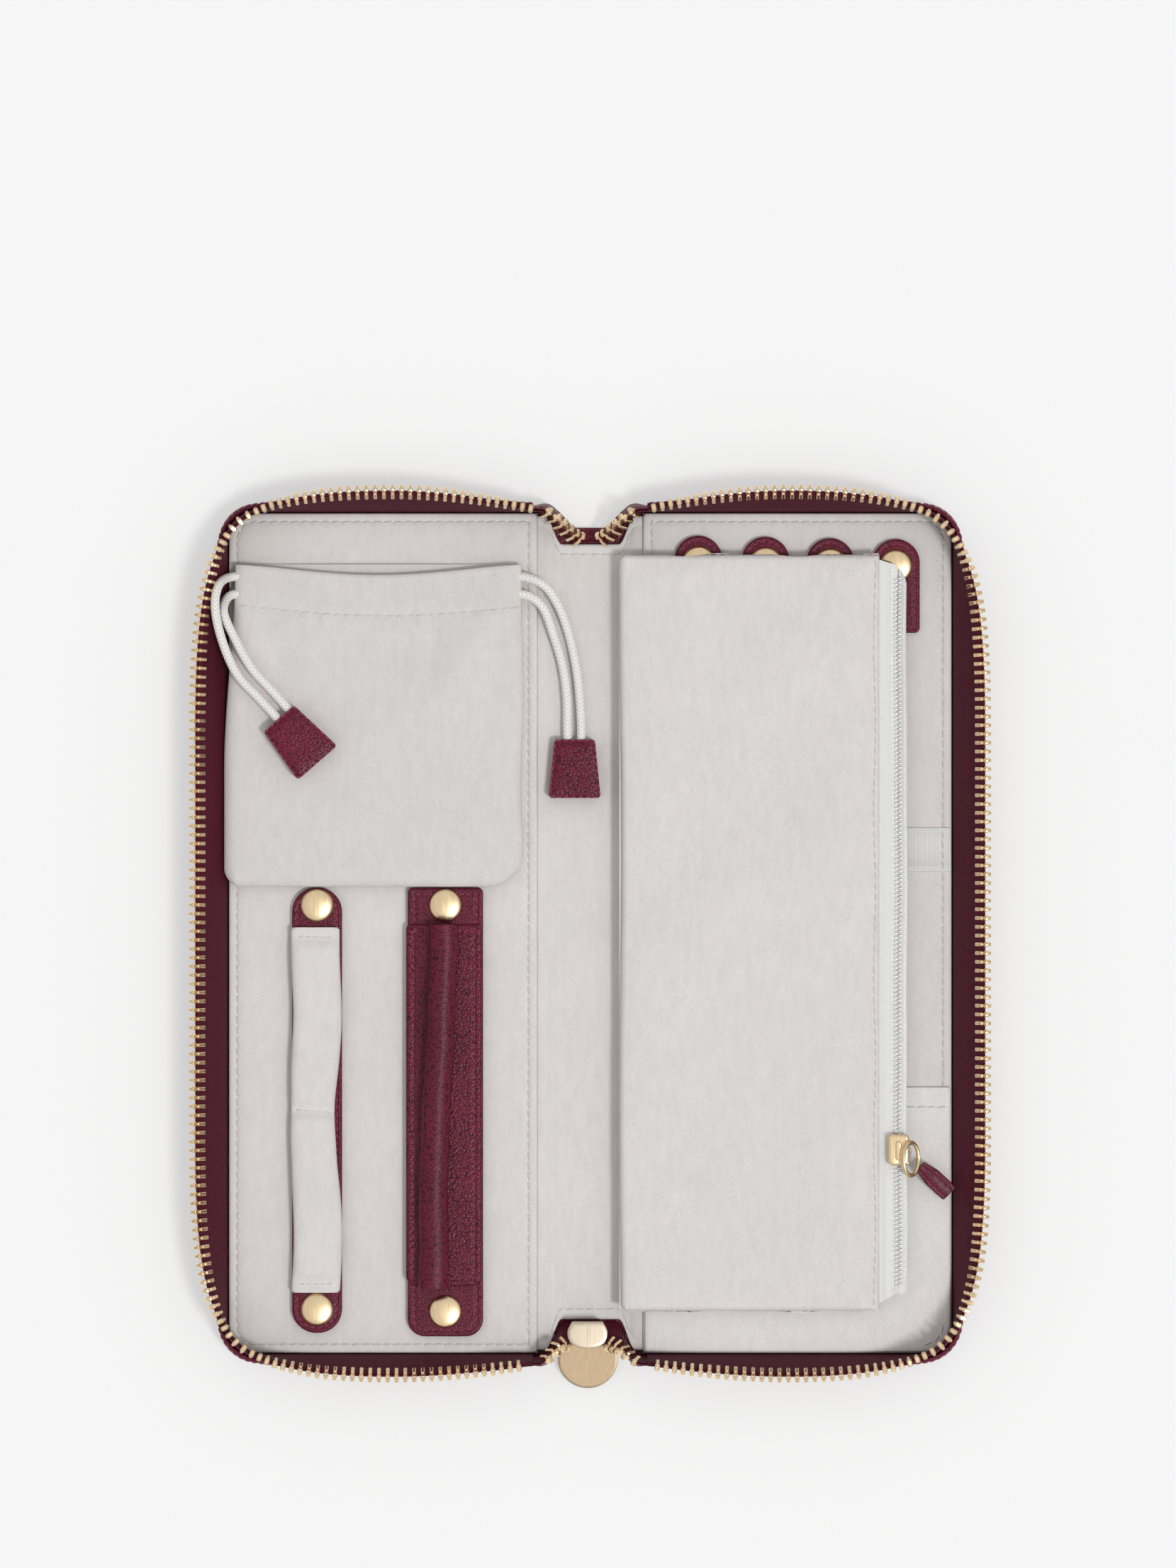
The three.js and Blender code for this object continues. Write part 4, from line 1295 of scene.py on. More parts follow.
@dataclass(frozen=True)
class Tooth:
    """A metal zip tooth: legs clamped on the tape's edge, a neck and a wider head."""

    pitch: float = 2.54
    legs: Spot = (1.05, 2.4, 2.5)
    neck: Spot = (0.85, 1.6, 0.75)
    head: Spot = (1.4, 2.1, 1.45)
    taper: float = 0.35
    slope: float = 0.3
    edge: float = 0.2
    grip: float = 1.3

    def shape(self) -> Shape:
        """One tooth, with X along the chain, Y across it and Z away from the tape.

        Returns:
            The tooth.
        """
        bm = bmesh.new()
        bmesh.ops.create_cube(bm, size=1.0)
        wide, deep, tall = self.legs
        bmesh.ops.scale(bm, vec=self.legs, verts=bm.verts)
        bmesh.ops.translate(bm, vec=(0, 0, tall / 2), verts=bm.verts)
        neck_wide, neck_deep, neck_tall = self.neck
        head_wide, head_deep, head_tall = self.head
        steps = [(neck_wide, neck_deep, self.taper), (neck_wide, neck_deep, neck_tall - self.taper)]
        steps += [(head_wide, head_deep, self.slope), (head_wide, head_deep, head_tall - 2 * self.slope)]
        steps += [(head_wide * 0.6, head_deep * 0.7, self.slope)]
        for width, depth, rise in steps:
            bm.faces.ensure_lookup_table()
            top = max(bm.faces, key=lambda face: face.calc_center_median().z)
            made = bmesh.ops.extrude_discrete_faces(bm, faces=[top])["faces"][0]
            bmesh.ops.translate(bm, vec=(0, 0, rise), verts=made.verts)
            grow = Vector((width / wide, depth / deep, 1))
            bmesh.ops.scale(bm, vec=grow, verts=made.verts)
            wide, deep = width, depth
        bmesh.ops.remove_doubles(bm, verts=bm.verts, dist=1e-4)
        upright = [edge for edge in bm.edges if abs(edge.verts[0].co.z - edge.verts[1].co.z) > 0.1]
        rounded = {"offset": self.edge, "segments": 1, "profile": 0.5, "material": -1}
        bmesh.ops.bevel(bm, geom=upright, affect="EDGES", **rounded)
        bmesh.ops.recalc_face_normals(bm, faces=bm.faces)
        return bm


def standing(origin: Vector, along: Vector, up: Vector) -> Matrix:
    """A place with its own axes.

    Args:
        origin: where it is.
        along: its X axis.
        up: its Z axis, as nearly as the X axis leaves room.

    Returns:
        The place as a matrix.
    """
    up = (up - along * up.dot(along)).normalized()
    across = up.cross(along).normalized()
    return Matrix.Translation(origin) @ Matrix((along, across, up)).transposed().to_4x4()


@dataclass
class CaseHalf:
    """One half of the case: cover, lining, gusset, zip tape and teeth. Its board is the frame's own."""

    side: Side
    plan: CasePlan = CasePlan()
    tooth: Tooth = Tooth()
    seam_inset: float = 2.5
    cover_edge: float = 0.7

    def __post_init__(self) -> None:
        """Sets up the wall and the body's name."""
        self.wall = Wall(self.plan, self.side)
        self.body = self.side.label + "_half"

    def build(self) -> None:
        """Builds every piece of the half."""
        self.cover()
        self.lining()
        self.gusset()
        self.zip_tape()
        self.teeth()

    def half_plate(self, inner: float, beyond: float, fixed: bool) -> Plate:
        """A plan on this half, rounded at its two outer corners.

        Args:
            inner: the distance of its inner side from the roll's middle.
            beyond: how far it goes beyond the foot of the wall.
            fixed: whether its inner side is square and stays put when it is inset.

        Returns:
            The plan.
        """
        outer, half = self.plan.foot_outer + beyond, self.plan.foot_half + beyond
        radius = self.plan.foot_radius + beyond
        left, right = (inner, outer) if self.side is Side.RIGHT else (-outer, -inner)
        near = 0.0 if fixed else 1.2
        radii = (near, radius, radius, near) if self.side is Side.RIGHT else (radius, near, near, radius)
        inner_side = "l" if self.side is Side.RIGHT else "r"
        return Plate(left, right, -half, half, radii, inner_side if fixed else "", 10)

    def cover(self) -> None:
        """The leather cover, with a rounded turned edge on its three outer sides."""
        plan = self.plan
        outline = self.half_plate(plan.spine_half + plan.fold_reach, plan.gusset_outside, True)
        edge = self.cover_edge
        rings = [(edge + 2.5, 0), (edge, 0), (edge * 0.35, 0.12), (0.05, 0.35), (0, 0.7), (0.1, 1.0)]
        rings += [(0.4, plan.cover_top), (3.0, plan.cover_top)]
        name = self.side.label + "_cover"
        piece(name + "_leather", plate(outline, rings), PEBBLED, self.body, [name])

    def lining(self) -> None:
        """The velvet lining with a turned edge and a row of stitches in its groove."""
        plan = self.plan
        outline = self.half_plate(plan.spine_half + 0.08, -plan.lining_gap, False)
        top, low = plan.lining_top, plan.board_top
        sewn = self.seam_inset
        rings = [(0.4, low), (0.0, low + 0.25), (0.0, low + 0.6), (0.12, low + 0.9), (0.45, top - 0.08)]
        rings += [(1.0, top), (sewn - 0.9, top), (sewn - 0.35, top - 0.12), (sewn, top - 0.3)]
        rings += [(sewn + 0.35, top - 0.12), (sewn + 0.9, top), (sewn + 2.4, top)]
        name = self.side.label + "_lining"
        piece(name + "_velvet", plate(outline, rings), VELVET, self.body, [name])
        thread = Run(outline.ring(sewn, top - 0.1), closed=True)
        LINING_SEAM.sew(name + "_stitching", [thread], self.body)

    def gusset(self) -> None:
        """The leather gusset outside the tape, folded over at its top and stitched to the tape."""
        plan = self.plan
        inside, outside, top = plan.gusset_inside, plan.gusset_outside, plan.gusset_top
        low = plan.cover_top + 0.05
        profile = [(height, inside) for height in (low, 4.2, 7.0, top - 0.3)]
        profile += [(top, inside + 0.35), (top, outside - 0.35), (top - 0.35, outside)]
        profile += [(height, outside) for height in (9.6, 8.0, 6.0, 4.2, 2.4)] + [(low, outside - 0.4)]
        name = self.side.label + "_gusset"
        piece(name + "_leather", self.wall.sweep(profile), PEBBLED, self.body, [name], 60)
        thread = self.wall.run_at(top - 1.8, outside + 0.05)
        LEATHER_SEAM.sew(name + "_stitching", [thread], self.body)

    def zip_tape(self) -> None:
        """The woven tape, with the corded edge that the teeth are clamped on."""
        plan = self.plan
        top, thick = plan.tape_top, plan.tape_thickness
        profile = [(1.3, 0.1)] + [(height, 0.0) for height in (2.9, 4.5, 6.1, 7.7, 9.3, 10.9, 12.5, 13.9)]
        profile += [(top - 0.4, -0.25), (top + 0.4, -0.1), (top + 0.6, thick / 2), (top + 0.4, thick + 0.1)]
        profile += [(top - 0.4, thick + 0.25)] + [(height, thick) for height in (13.9, 11.0, 8.0, 4.5, 1.3)]
        name = self.side.label + "_zip_tape"
        piece(name + "_weave", self.wall.sweep(profile), TAPE, self.body, [name], 70)

    def teeth(self) -> None:
        """The row of metal teeth round the half, half a pitch apart on the two halves."""
        plan = self.plan
        phase = 0.75 if self.side is Side.RIGHT else 0.25
        count = int(self.wall.length / self.tooth.pitch)
        places = []
        middle = plan.tape_thickness / 2
        for i in range(count):
            distance = (i + phase) * self.tooth.pitch
            foot = self.wall.point(distance, plan.tape_top - self.tooth.grip, middle)
            head = self.wall.point(distance, plan.wall_height, middle)
            near = self.wall.point(max(0.0, distance - 0.5), plan.tape_top, middle)
            far = self.wall.point(min(self.wall.length, distance + 0.5), plan.tape_top, middle)
            places.append(standing(foot, (far - near).normalized(), (head - foot).normalized()))
        name = self.side.label + "_zip_chain"
        piece(name + "_teeth", scatter(self.tooth.shape(), places), TEETH, self.body, [name], 35)


@dataclass
class Spine:
    """The spine: cover, lining and the two notched ends that the zip crosses."""

    plan: CasePlan = CasePlan()
    tooth: Tooth = Tooth()
    cover_notch_head: float = 118.0
    cover_notch_foot: float = 116.8
    notch_seam: float = 3.0
    row_pitch: float = 2.3
    band_reach: float = 4.1
    band_thickness: float = 1.0
    slider_x: float = -0.8
    under_slider: tuple[float, float] = (-116.2, 4.5)
    hem: Plate = Plate(12.05, 12.95, -108, 108, (0.3,) * 4)
    hem_top: float = 6.25

    def build(self) -> None:
        """Builds every piece of the spine."""
        self.cover()
        self.lining()
        for end in End:
            for side in Side:
                self.end_band(end, side)
        self.end_teeth()
        self.slider()
        self.puller()

    def notch(self, x: float, shoulder: float, flat: float, half: float) -> float:
        """How far the spine reaches at x, from flat within half of its middle to its shoulders."""
        return mix(flat, shoulder, smooth(abs(x), half, self.plan.spine_end_half))

    def strip(
        self,
        start: float,
        end: float,
        reach: Callable[[float, End], float],
        profile: Sequence[tuple[End, float, float]],
        step: float = 0.75,
    ) -> Shape:
        """A strip of the spine, from one place across it to another.

        Args:
            start: where it starts across the spine.
            end: where it ends.
            reach: how far the strip reaches to each end at a place.
            profile: (end, inset, height) of the points round its section.
            step: the spacing of its sections.

        Returns:
            The closed strip.
        """

        def place(u: float, index: float, _: float) -> Vector:
            """The point at a share across the strip, for a point of the section by its number."""
            x = mix(start, end, u)
            where, inset, z = profile[int(index)]
            return Vector((x, where.value * (reach(x, where) - inset), z))

        stations = round((end - start) / step)
        numbered = [(float(i), 0.0) for i in range(len(profile))]
        return swept(stations, numbered, place, end - start)

    def cover(self) -> None:
        """The spine's leather in two strips, each bending over one fold into its half."""
        plan = self.plan
        top = plan.cover_top
        profile = [(End.FOOT, 0.8, 0.0), (End.HEAD, 0.8, 0.0), (End.HEAD, 0.25, 0.15), (End.HEAD, 0.0, 0.6)]
        profile += [(End.HEAD, 0.2, top), (End.FOOT, 0.2, top), (End.FOOT, 0.0, 0.6), (End.FOOT, 0.25, 0.15)]

        def reach(x: float, end: End) -> float:
            """How far the leather reaches to an end at a place across it."""
            if end is End.HEAD:
                return self.notch(x, plan.cover_shoulder, self.cover_notch_head, 4.0)
            return self.notch(x, plan.cover_shoulder, self.cover_notch_foot, 10.0)

        for side in Side:
            start, end = sorted((0.0, side.value * (plan.spine_half + plan.fold_reach)))
            bm = self.strip(start, end, reach, profile)
            made = piece(f"spine_cover_{side.label}_leather", bm, PEBBLED, "", ["spine_cover"])
            self.bend(made, side, plan.fold_reach, plan.fold_reach)

    def lining(self) -> None:
        """The spine's velvet, notched at both ends, with stitches along the notches."""
        plan = self.plan
        low, top = plan.cover_top + 0.05, plan.spine_top

        def reach(x: float, end: End) -> float:
            """How far the velvet reaches to an end at a place across it."""
            flat = plan.notch_head if end is End.HEAD else plan.notch_foot
            return self.notch(x, plan.lining_shoulder, flat, plan.notch_half)

        sewn = self.notch_seam
        head = [(0.3, low), (0.0, low + 0.4), (0.0, top - 0.5), (0.3, top - 0.08), (0.9, top)]
        head += [(sewn - 0.5, top), (sewn, top - 0.22), (sewn + 0.5, top)]
        profile = [(End.HEAD, inset, z) for inset, z in head]
        profile += [(End.FOOT, inset, z) for inset, z in reversed(head)]
        bm = self.strip(-plan.spine_half, plan.spine_half, reach, profile, 0.6)
        piece("spine_lining_velvet", bm, VELVET, "spine", ["spine_lining"])
        runs = []
        sewn_half = plan.spine_end_half - 1.5
        for end in End:
            places = [mix(-sewn_half, sewn_half, i / 40) for i in range(41)]
            runs.append(Run((x, end.value * (reach(x, end) - sewn), top - 0.08) for x in places))
        LINING_SEAM.sew("spine_lining_stitching", runs, "spine")
        crown = self.hem_top
        rings = [(0.0, top - 0.4), (0.0, crown - 0.35), (0.15, crown - 0.1), (0.3, crown)]
        piece("page_binding_hem", plate(self.hem, rings), VELVET, "spine")

    def crest(self, end: End, x: float) -> Vector:
        """The crest of an end band, where the zip crosses the fold and runs on into the halves' walls.

        Args:
            end: which end.
            x: the place across the spine.

        Returns:
            A point.
        """
        joined = smooth(abs(x), 9, 15)
        if end is End.HEAD:
            rise = smooth(abs(x), 2.5, self.plan.spine_end_half + 1)
            return Vector((x, mix(113.8, 120.9, rise) + 1.5 * joined, mix(3.6, 13.4, rise) + 1.2 * joined))
        rise = smooth(abs(x - self.slider_x), 5.85, self.plan.spine_end_half + 1)
        return Vector((x, -mix(118.6, 121.1, rise) - 3.2 * joined, mix(8.0, 13.4, rise) + 1.2 * joined))

    def foot_of(self, end: End, x: float) -> Vector:
        """The foot of an end band, on the spine's cover.

        Args:
            end: which end.
            x: the place across the spine.

        Returns:
            A point.
        """
        joined = smooth(abs(x), 9, 15)
        if end is End.HEAD:
            return Vector((x, mix(117, 121.2, smooth(abs(x), 3.5, 12)) + 1.6 * joined, self.plan.cover_top))
        return Vector((x, -mix(112.9, 120.6, smooth(abs(x), 7.5, 13)) - 2.2 * joined, self.plan.cover_top))

    def tape_crest(self, end: End, x: float) -> Vector:
        """The top of an end's tape and leather: its crest, brought down under the slider at the foot.

        Args:
            end: which end.
            x: the place across the spine.

        Returns:
            A point.
        """
        spot = self.crest(end, x)
        if end is End.FOOT:
            under = 1 - smooth(abs(x - self.slider_x), 4.6, 5.3)
            y, z = self.under_slider
            spot.y, spot.z = mix(spot.y, y, under), mix(spot.z, z, under)
        return spot

    def end_band(self, end: End, side: Side) -> None:
        """One side of an end's leather band, with the woven tape inside it.

        Args:
            end: which end.
            side: the half that it runs on into.
        """
        half = self.plan.spine_end_half + self.band_reach
        start, stop = sorted((0.0, side.value * half))

        def place(u: float, rise: float, depth: float) -> Vector:
            """The point at a share across, a share of the way up and a depth outwards."""
            x = mix(start, stop, u)
            spot = self.foot_of(end, x).lerp(self.tape_crest(end, x), rise)
            bulge = 0.6 + 1.9 * smooth(abs(x), 3, 9) - 1.7 * smooth(abs(x), 10.5, 16.2)
            spot.y += end.value * (depth + bulge * math.sin(math.pi * clamp(rise, 0, 1)) * (depth > 0.34))
            return spot

        thick = self.band_thickness
        leather = [(0.0, 0.35), (0.5, 0.35), (0.95, 0.35), (1.0, 0.6), (0.97, thick)]
        leather += [(rise, thick) for rise in (0.75, 0.5, 0.25, 0.0)]
        weave = [(0.0, -0.1), (0.5, -0.1), (1.0, -0.1), (1.06, 0.1), (1.0, 0.3), (0.5, 0.3), (0.0, 0.3)]
        node = "spine_end_" + end.label
        name = f"{node}_{side.label}"
        made = piece(name + "_leather", swept(32, leather, place, half), PEBBLED, "", [node], 60)
        self.bend(made, side)
        self.bend(piece(name + "_weave", swept(32, weave, place, half), TAPE, "", sharp=60), side)

    def bend(self, made: bpy.types.Object, side: Side, outside: float = 1.2, inside: float = 4.8) -> None:
        """Lets a piece that reaches into a half bend with it over the fold.

        Args:
            made: the piece.
            side: the half.
            outside: how far beyond the fold it is wholly the half's.
            inside: how far inside the fold it is wholly the spine's.
        """
        near = (side.value * (self.plan.spine_half + outside) * MM, 0, 0)
        far = (side.value * (self.plan.spine_half - inside) * MM, 0, 0)
        if side is Side.LEFT:
            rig.blend(made, "left_half", "spine", near, far)
        else:
            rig.blend(made, "spine", "right_half", far, near)

    def end_teeth(self) -> None:
        """The short rows of teeth that cross the fold at the head and beside the slider at the foot."""
        half = self.plan.spine_end_half + 1.6
        rows = [
            ("zip_end_head", End.HEAD, Side.LEFT, -half, -3.2),
            ("zip_end_head", End.HEAD, Side.RIGHT, 3.2, half),
            ("zip_end_foot_left", End.FOOT, Side.LEFT, -half, -7.4),
            ("zip_end_foot_right", End.FOOT, Side.RIGHT, 5.8, half),
        ]
        for node, end, side, start, stop in rows:
            places = []
            crest = [self.crest(end, mix(start, stop, i / 60)) for i in range(61)]
            level = Run((p.x, p.y, 0) for p in crest)
            count = round(level.length / self.row_pitch)
            for i in range(count):
                spot = level.at((i + 0.5) * level.length / count)
                along = (self.crest(end, spot.x + 0.3) - self.crest(end, spot.x - 0.3)).normalized()
                out = UP.cross(along).normalized() * end.value
                lean = mix(0.7, 0.2, smooth(abs(spot.x), 9, 14.5))
                up = (out * lean + UP * 0.72).normalized()
                places.append(standing(self.crest(end, spot.x) - up * self.tooth.grip, along, up))
            name = f"spine_row_{end.label}_{side.label}_teeth"
            self.bend(piece(name, scatter(self.tooth.shape(), places), TEETH, "", [node], 35), side)

    def shield(self) -> Outline:
        """The slider plate's outline: a straight inner end, full cheeks and a round nose.

        Returns:
            The outline.
        """
        x, half, inner, outer, nose = self.slider_x, 5.85, -112.9, -120.5, 4.2
        edge, widest = x + half, outer + nose
        nose_line = [(x, outer), (x + 3.2, outer), (edge, outer + 1.1), (edge, widest)]
        cheek_line = [(edge, widest), (edge, widest + 1.4), (edge - 0.5, inner - 1.6), (edge - 1.4, inner)]
        right = interpolate_bezier(*[Vector((*p, 0)) for p in nose_line], 9)
        cheek = interpolate_bezier(*[Vector((*p, 0)) for p in cheek_line], 6)
        points = [(p.x, p.y) for p in [*right, *cheek[1:]]]
        mirrored = [(2 * x - px, py) for px, py in reversed(points[1:])]
        return Outline(tuple(points + mirrored))

    def slider(self) -> None:
        """The zip slider: two shield plates on a post, the upper one ridged down its middle."""
        outline = self.shield()
        lower = [(0.5, 5.0), (0.15, 5.08), (0.0, 5.3), (0.0, 5.8), (0.3, 6.0)]
        upper = [(0.3, 9.0), (0.0, 9.15), (0.0, 9.6), (0.15, 9.85), (0.55, 9.97), (1.2, 10.0)]
        bm = plate(outline, lower)
        absorb(bm, plate(outline, upper))
        absorb(bm, turned([(0, 5.9), (1.6, 5.9), (1.6, 9.1), (0, 9.1)], self.slider_x, -115.5, 24))
        ridge = Plate(-0.92, -0.68, -119.9, -113.0, (0.1,) * 4)
        absorb(bm, plate(ridge, [(0, 9.9), (0, 10.04), (0.08, 10.08)]))
        piece("zip_slider_plates", bm, SLIDER, "spine", ["zip_slider"], 40)

    def puller(self) -> None:
        """The bare round puller, which hangs from the slider and leans down to the table."""
        x, y, radius, chord, face = -0.7, -124.0, 8.7, 4.6, 0.7
        pivot = Vector((0, -119.2, 4.0))
        tilt = Matrix.Rotation(math.radians(11.3), 4, "X")
        points = []
        opening = math.asin(chord / radius)
        for i in range(65):
            turn = math.pi - opening + i / 64 * (math.pi + 2 * opening)
            points.append((x + radius * math.cos(turn), y - pivot.y + radius * math.sin(turn)))
        rim = [(0.35, -face), (0.08, 0.1 - face), (0.0, -0.3), (0.0, 0.3), (0.08, face - 0.1)]
        rim += [(0.35, face), (0.8, face)]
        bm = plate(Outline(tuple(points)), rim)
        bmesh.ops.transform(bm, matrix=Matrix.Translation(pivot) @ tilt, verts=bm.verts)
        piece("zip_pull_disc", bm, PULLER, "zip_puller", ["zip_pull"], 40)


# Left half


@dataclass(frozen=True)
class PressStud:
    """A press stud: a domed cap on the leather and its lower half under it."""

    radius: float = 4.8
    height: float = 1.8
    lower_radius: float = 4.0

    def cap(self, node: str, x: float, y: float, bottom: float, body: str) -> None:
        """A satin dome with a turned rim.

        Args:
            node: the frame node that it stands for.
            x: its middle, across.
            y: its middle, along.
            bottom: the height that it stands on.
            body: the body that it rides on.
        """
        r, h, shoulder, rim = self.radius, self.height, self.radius - 0.25, bottom + 0.86
        profile = [(0, bottom), (r - 0.35, bottom), (r - 0.05, bottom + 0.12), (r, bottom + 0.4)]
        profile += [(r - 0.04, bottom + 0.62), (shoulder, rim)]
        for i in range(1, 8):
            turn = i / 8 * math.pi / 2
            profile.append((shoulder * math.cos(turn), rim + (h - 0.86) * math.sin(turn)))
        profile.append((0, bottom + h))
        piece(node + "_dome", turned(profile, x, y), SATIN, body, [node], 50)

    def lower(self, node: str, x: float, y: float, bottom: float, top: float, body: str) -> None:
        """The stud's lower half, a disc with a rounded rim.

        Args:
            node: the frame node that it stands for.
            x: its middle, across.
            y: its middle, along.
            bottom: its underside's height.
            top: its upper face's height.
            body: the body that it rides on.
        """
        r = self.lower_radius
        profile = [(0, bottom), (r - 0.1, bottom), (r, bottom + 0.15)]
        profile += [(r, top - 0.2), (r - 0.2, top), (0, top)]
        piece(node + "_disc", turned(profile, x, y, 32), SATIN, body, [node], 50)


def strap(
    node: str, plan: Plate, levels: tuple[float, float], sewn: float, body: str, finish: Finish = GRAINED
) -> None:
    """A leather strap with rounded edges, sewn all round in a groove.

    Args:
        node: the frame node that it stands for.
        plan: its plan.
        levels: the heights of its underside and its upper face.
        sewn: how far inside its edge the stitches run.
        body: the body that it rides on.
        finish: its leather.
    """
    bottom, top = levels
    rings = [(0.5, bottom), (0.12, bottom + 0.1), (0.0, bottom + 0.4), (0.0, top - 0.4), (0.14, top - 0.12)]
    rings += [(0.5, top), (sewn - 0.5, top), (sewn, top - 0.16), (sewn + 0.5, top), (sewn + 1.2, top)]
    piece(node + "_leather", plate(plan, rings), finish, body, [node])
    loop = Run(plan.ring(sewn, top - 0.02), closed=True)
    LEATHER_SEAM.sew(node + "_stitching", [loop], body)


@dataclass
class Bar:
    """A leather bar along the left half, on two press studs. The upper one opens."""

    name: str
    x: float
    width: float
    low: float
    lower_stud: float
    high: float = 13.2
    bottom: float = 5.0
    thickness: float = 1.6
    upper_stud: float = 8.1
    stud: PressStud = PressStud()

    def __post_init__(self) -> None:
        """Works out the height of the bar's strap."""
        self.top = self.bottom + self.thickness

    def base(self, node: str, radii: tuple[float, ...], sewn: float, steps: int) -> None:
        """The strap that the bar is built on.

        Args:
            node: the frame node that it stands for.
            radii: the radii of its corners.
            sewn: how far inside its edge the stitches run.
            steps: steps of each corner.
        """
        left, right = self.x - self.width / 2, self.x + self.width / 2
        plan = Plate(left, right, self.low, self.high, radii, steps=steps)
        strap(node, plan, (self.bottom, self.top), sewn, self.name)

    def studs(self) -> None:
        """The caps of both press studs, and the half of the upper one that stays on the lining."""
        for end, y in (("upper", self.upper_stud), ("lower", self.lower_stud)):
            self.stud.cap(f"{self.name}_cap_{end}", self.x, y, self.top, self.name)
        self.stud.lower(f"{self.name}_stud", self.x, self.upper_stud, LINING_TOP, self.bottom, "left_half")


@dataclass
class RingBar(Bar):
    """The ring bar: a stitched leather strap under a velvet sleeve, on two press studs."""

    name: str = "ring_bar"
    x: float = -79.4
    width: float = 14.5
    low: float = -116.2
    lower_stud: float = -109.4
    sleeve_top: float = 1.7
    sleeve_bottom: float = -104.4
    sleeve_height: float = 3.0

    def build(self) -> None:
        """Builds every piece of the bar."""
        self.base("ring_bar_strap", (self.width / 2 - 0.3,) * 4, 1.5, 14)
        self.sleeve(self.top)
        self.studs()

    def middle(self, y: float) -> float:
        """Where the sleeve's middle wanders to at a place along it."""
        share = (self.sleeve_top - y) / (self.sleeve_top - self.sleeve_bottom)
        return self.x - 0.5 + 0.75 * math.sin(share * 3.1 * math.pi - 0.4) * smooth(share, 0, 0.3)

    def half_width(self, y: float) -> float:
        """The sleeve's half width at a place along it."""
        nipped = 0.7 * hump(y, -51, 9) + 0.35 * hump(y, -66, 8)
        return self.width / 2 - 0.2 - nipped

    def crown(self, y: float) -> float:
        """How high the sleeve stands at a place along it: it is sewn down at its ends and its middle.

        Args:
            y: the place.

        Returns:
            The height over the strap.
        """
        held = [(-0.8, 2.4), (-51.3, 2.0), (-102.0, 2.4)]
        pinch = sum(hump(y, at, reach) for at, reach in held)
        return self.sleeve_height - 1.5 * min(1.0, pinch)

    def sleeve(self, base: float) -> None:
        """The padded velvet sleeve with its three short rows of stitches.

        Args:
            base: the height that it lies on.
        """
        length = self.sleeve_top - self.sleeve_bottom

        def place(u: float, v: float) -> Vector:
            """The point at a share of the length and a share of a turn."""
            y = mix(self.sleeve_top, self.sleeve_bottom, u)
            across, rise = math.cos(math.tau * v), math.sin(math.tau * v)
            width = self.half_width(y) - 0.5 * (1 - rounding(min(u, 1 - u) * length, 0.8))
            x = self.middle(y) + width * squared(across, 0.55)
            if rise < 0:
                return Vector((x, y, base + 0.25 * (1 - abs(rise) ** 0.5)))
            crown = self.crown(y) * (0.8 + 0.2 * rounding(min(u, 1 - u) * length, 1.2))
            return Vector((x, y, base + 0.25 + (crown - 0.25) * rise**0.6))

        bm = sealed(surface(150, 40, place), 1e-3)
        made = piece("ring_bar_sleeve_velvet", bm, VELVET, "ring_bar", ["ring_bar_sleeve"], 75)
        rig.padded(made, fill=0.35)
        rows = []
        for y, slope in ((-0.9, -0.4), (-51.3, -0.8), (-101.9, 0.1)):
            x, z = self.middle(y), base + self.crown(y) + 0.02
            rows.append(Run([(x - 4.9, y, z), (x + 4.9, y + slope, z)]))
        Seam(1.9, 1.6, 0.4, 5.0).sew("ring_bar_sleeve_stitching", rows, "ring_bar")


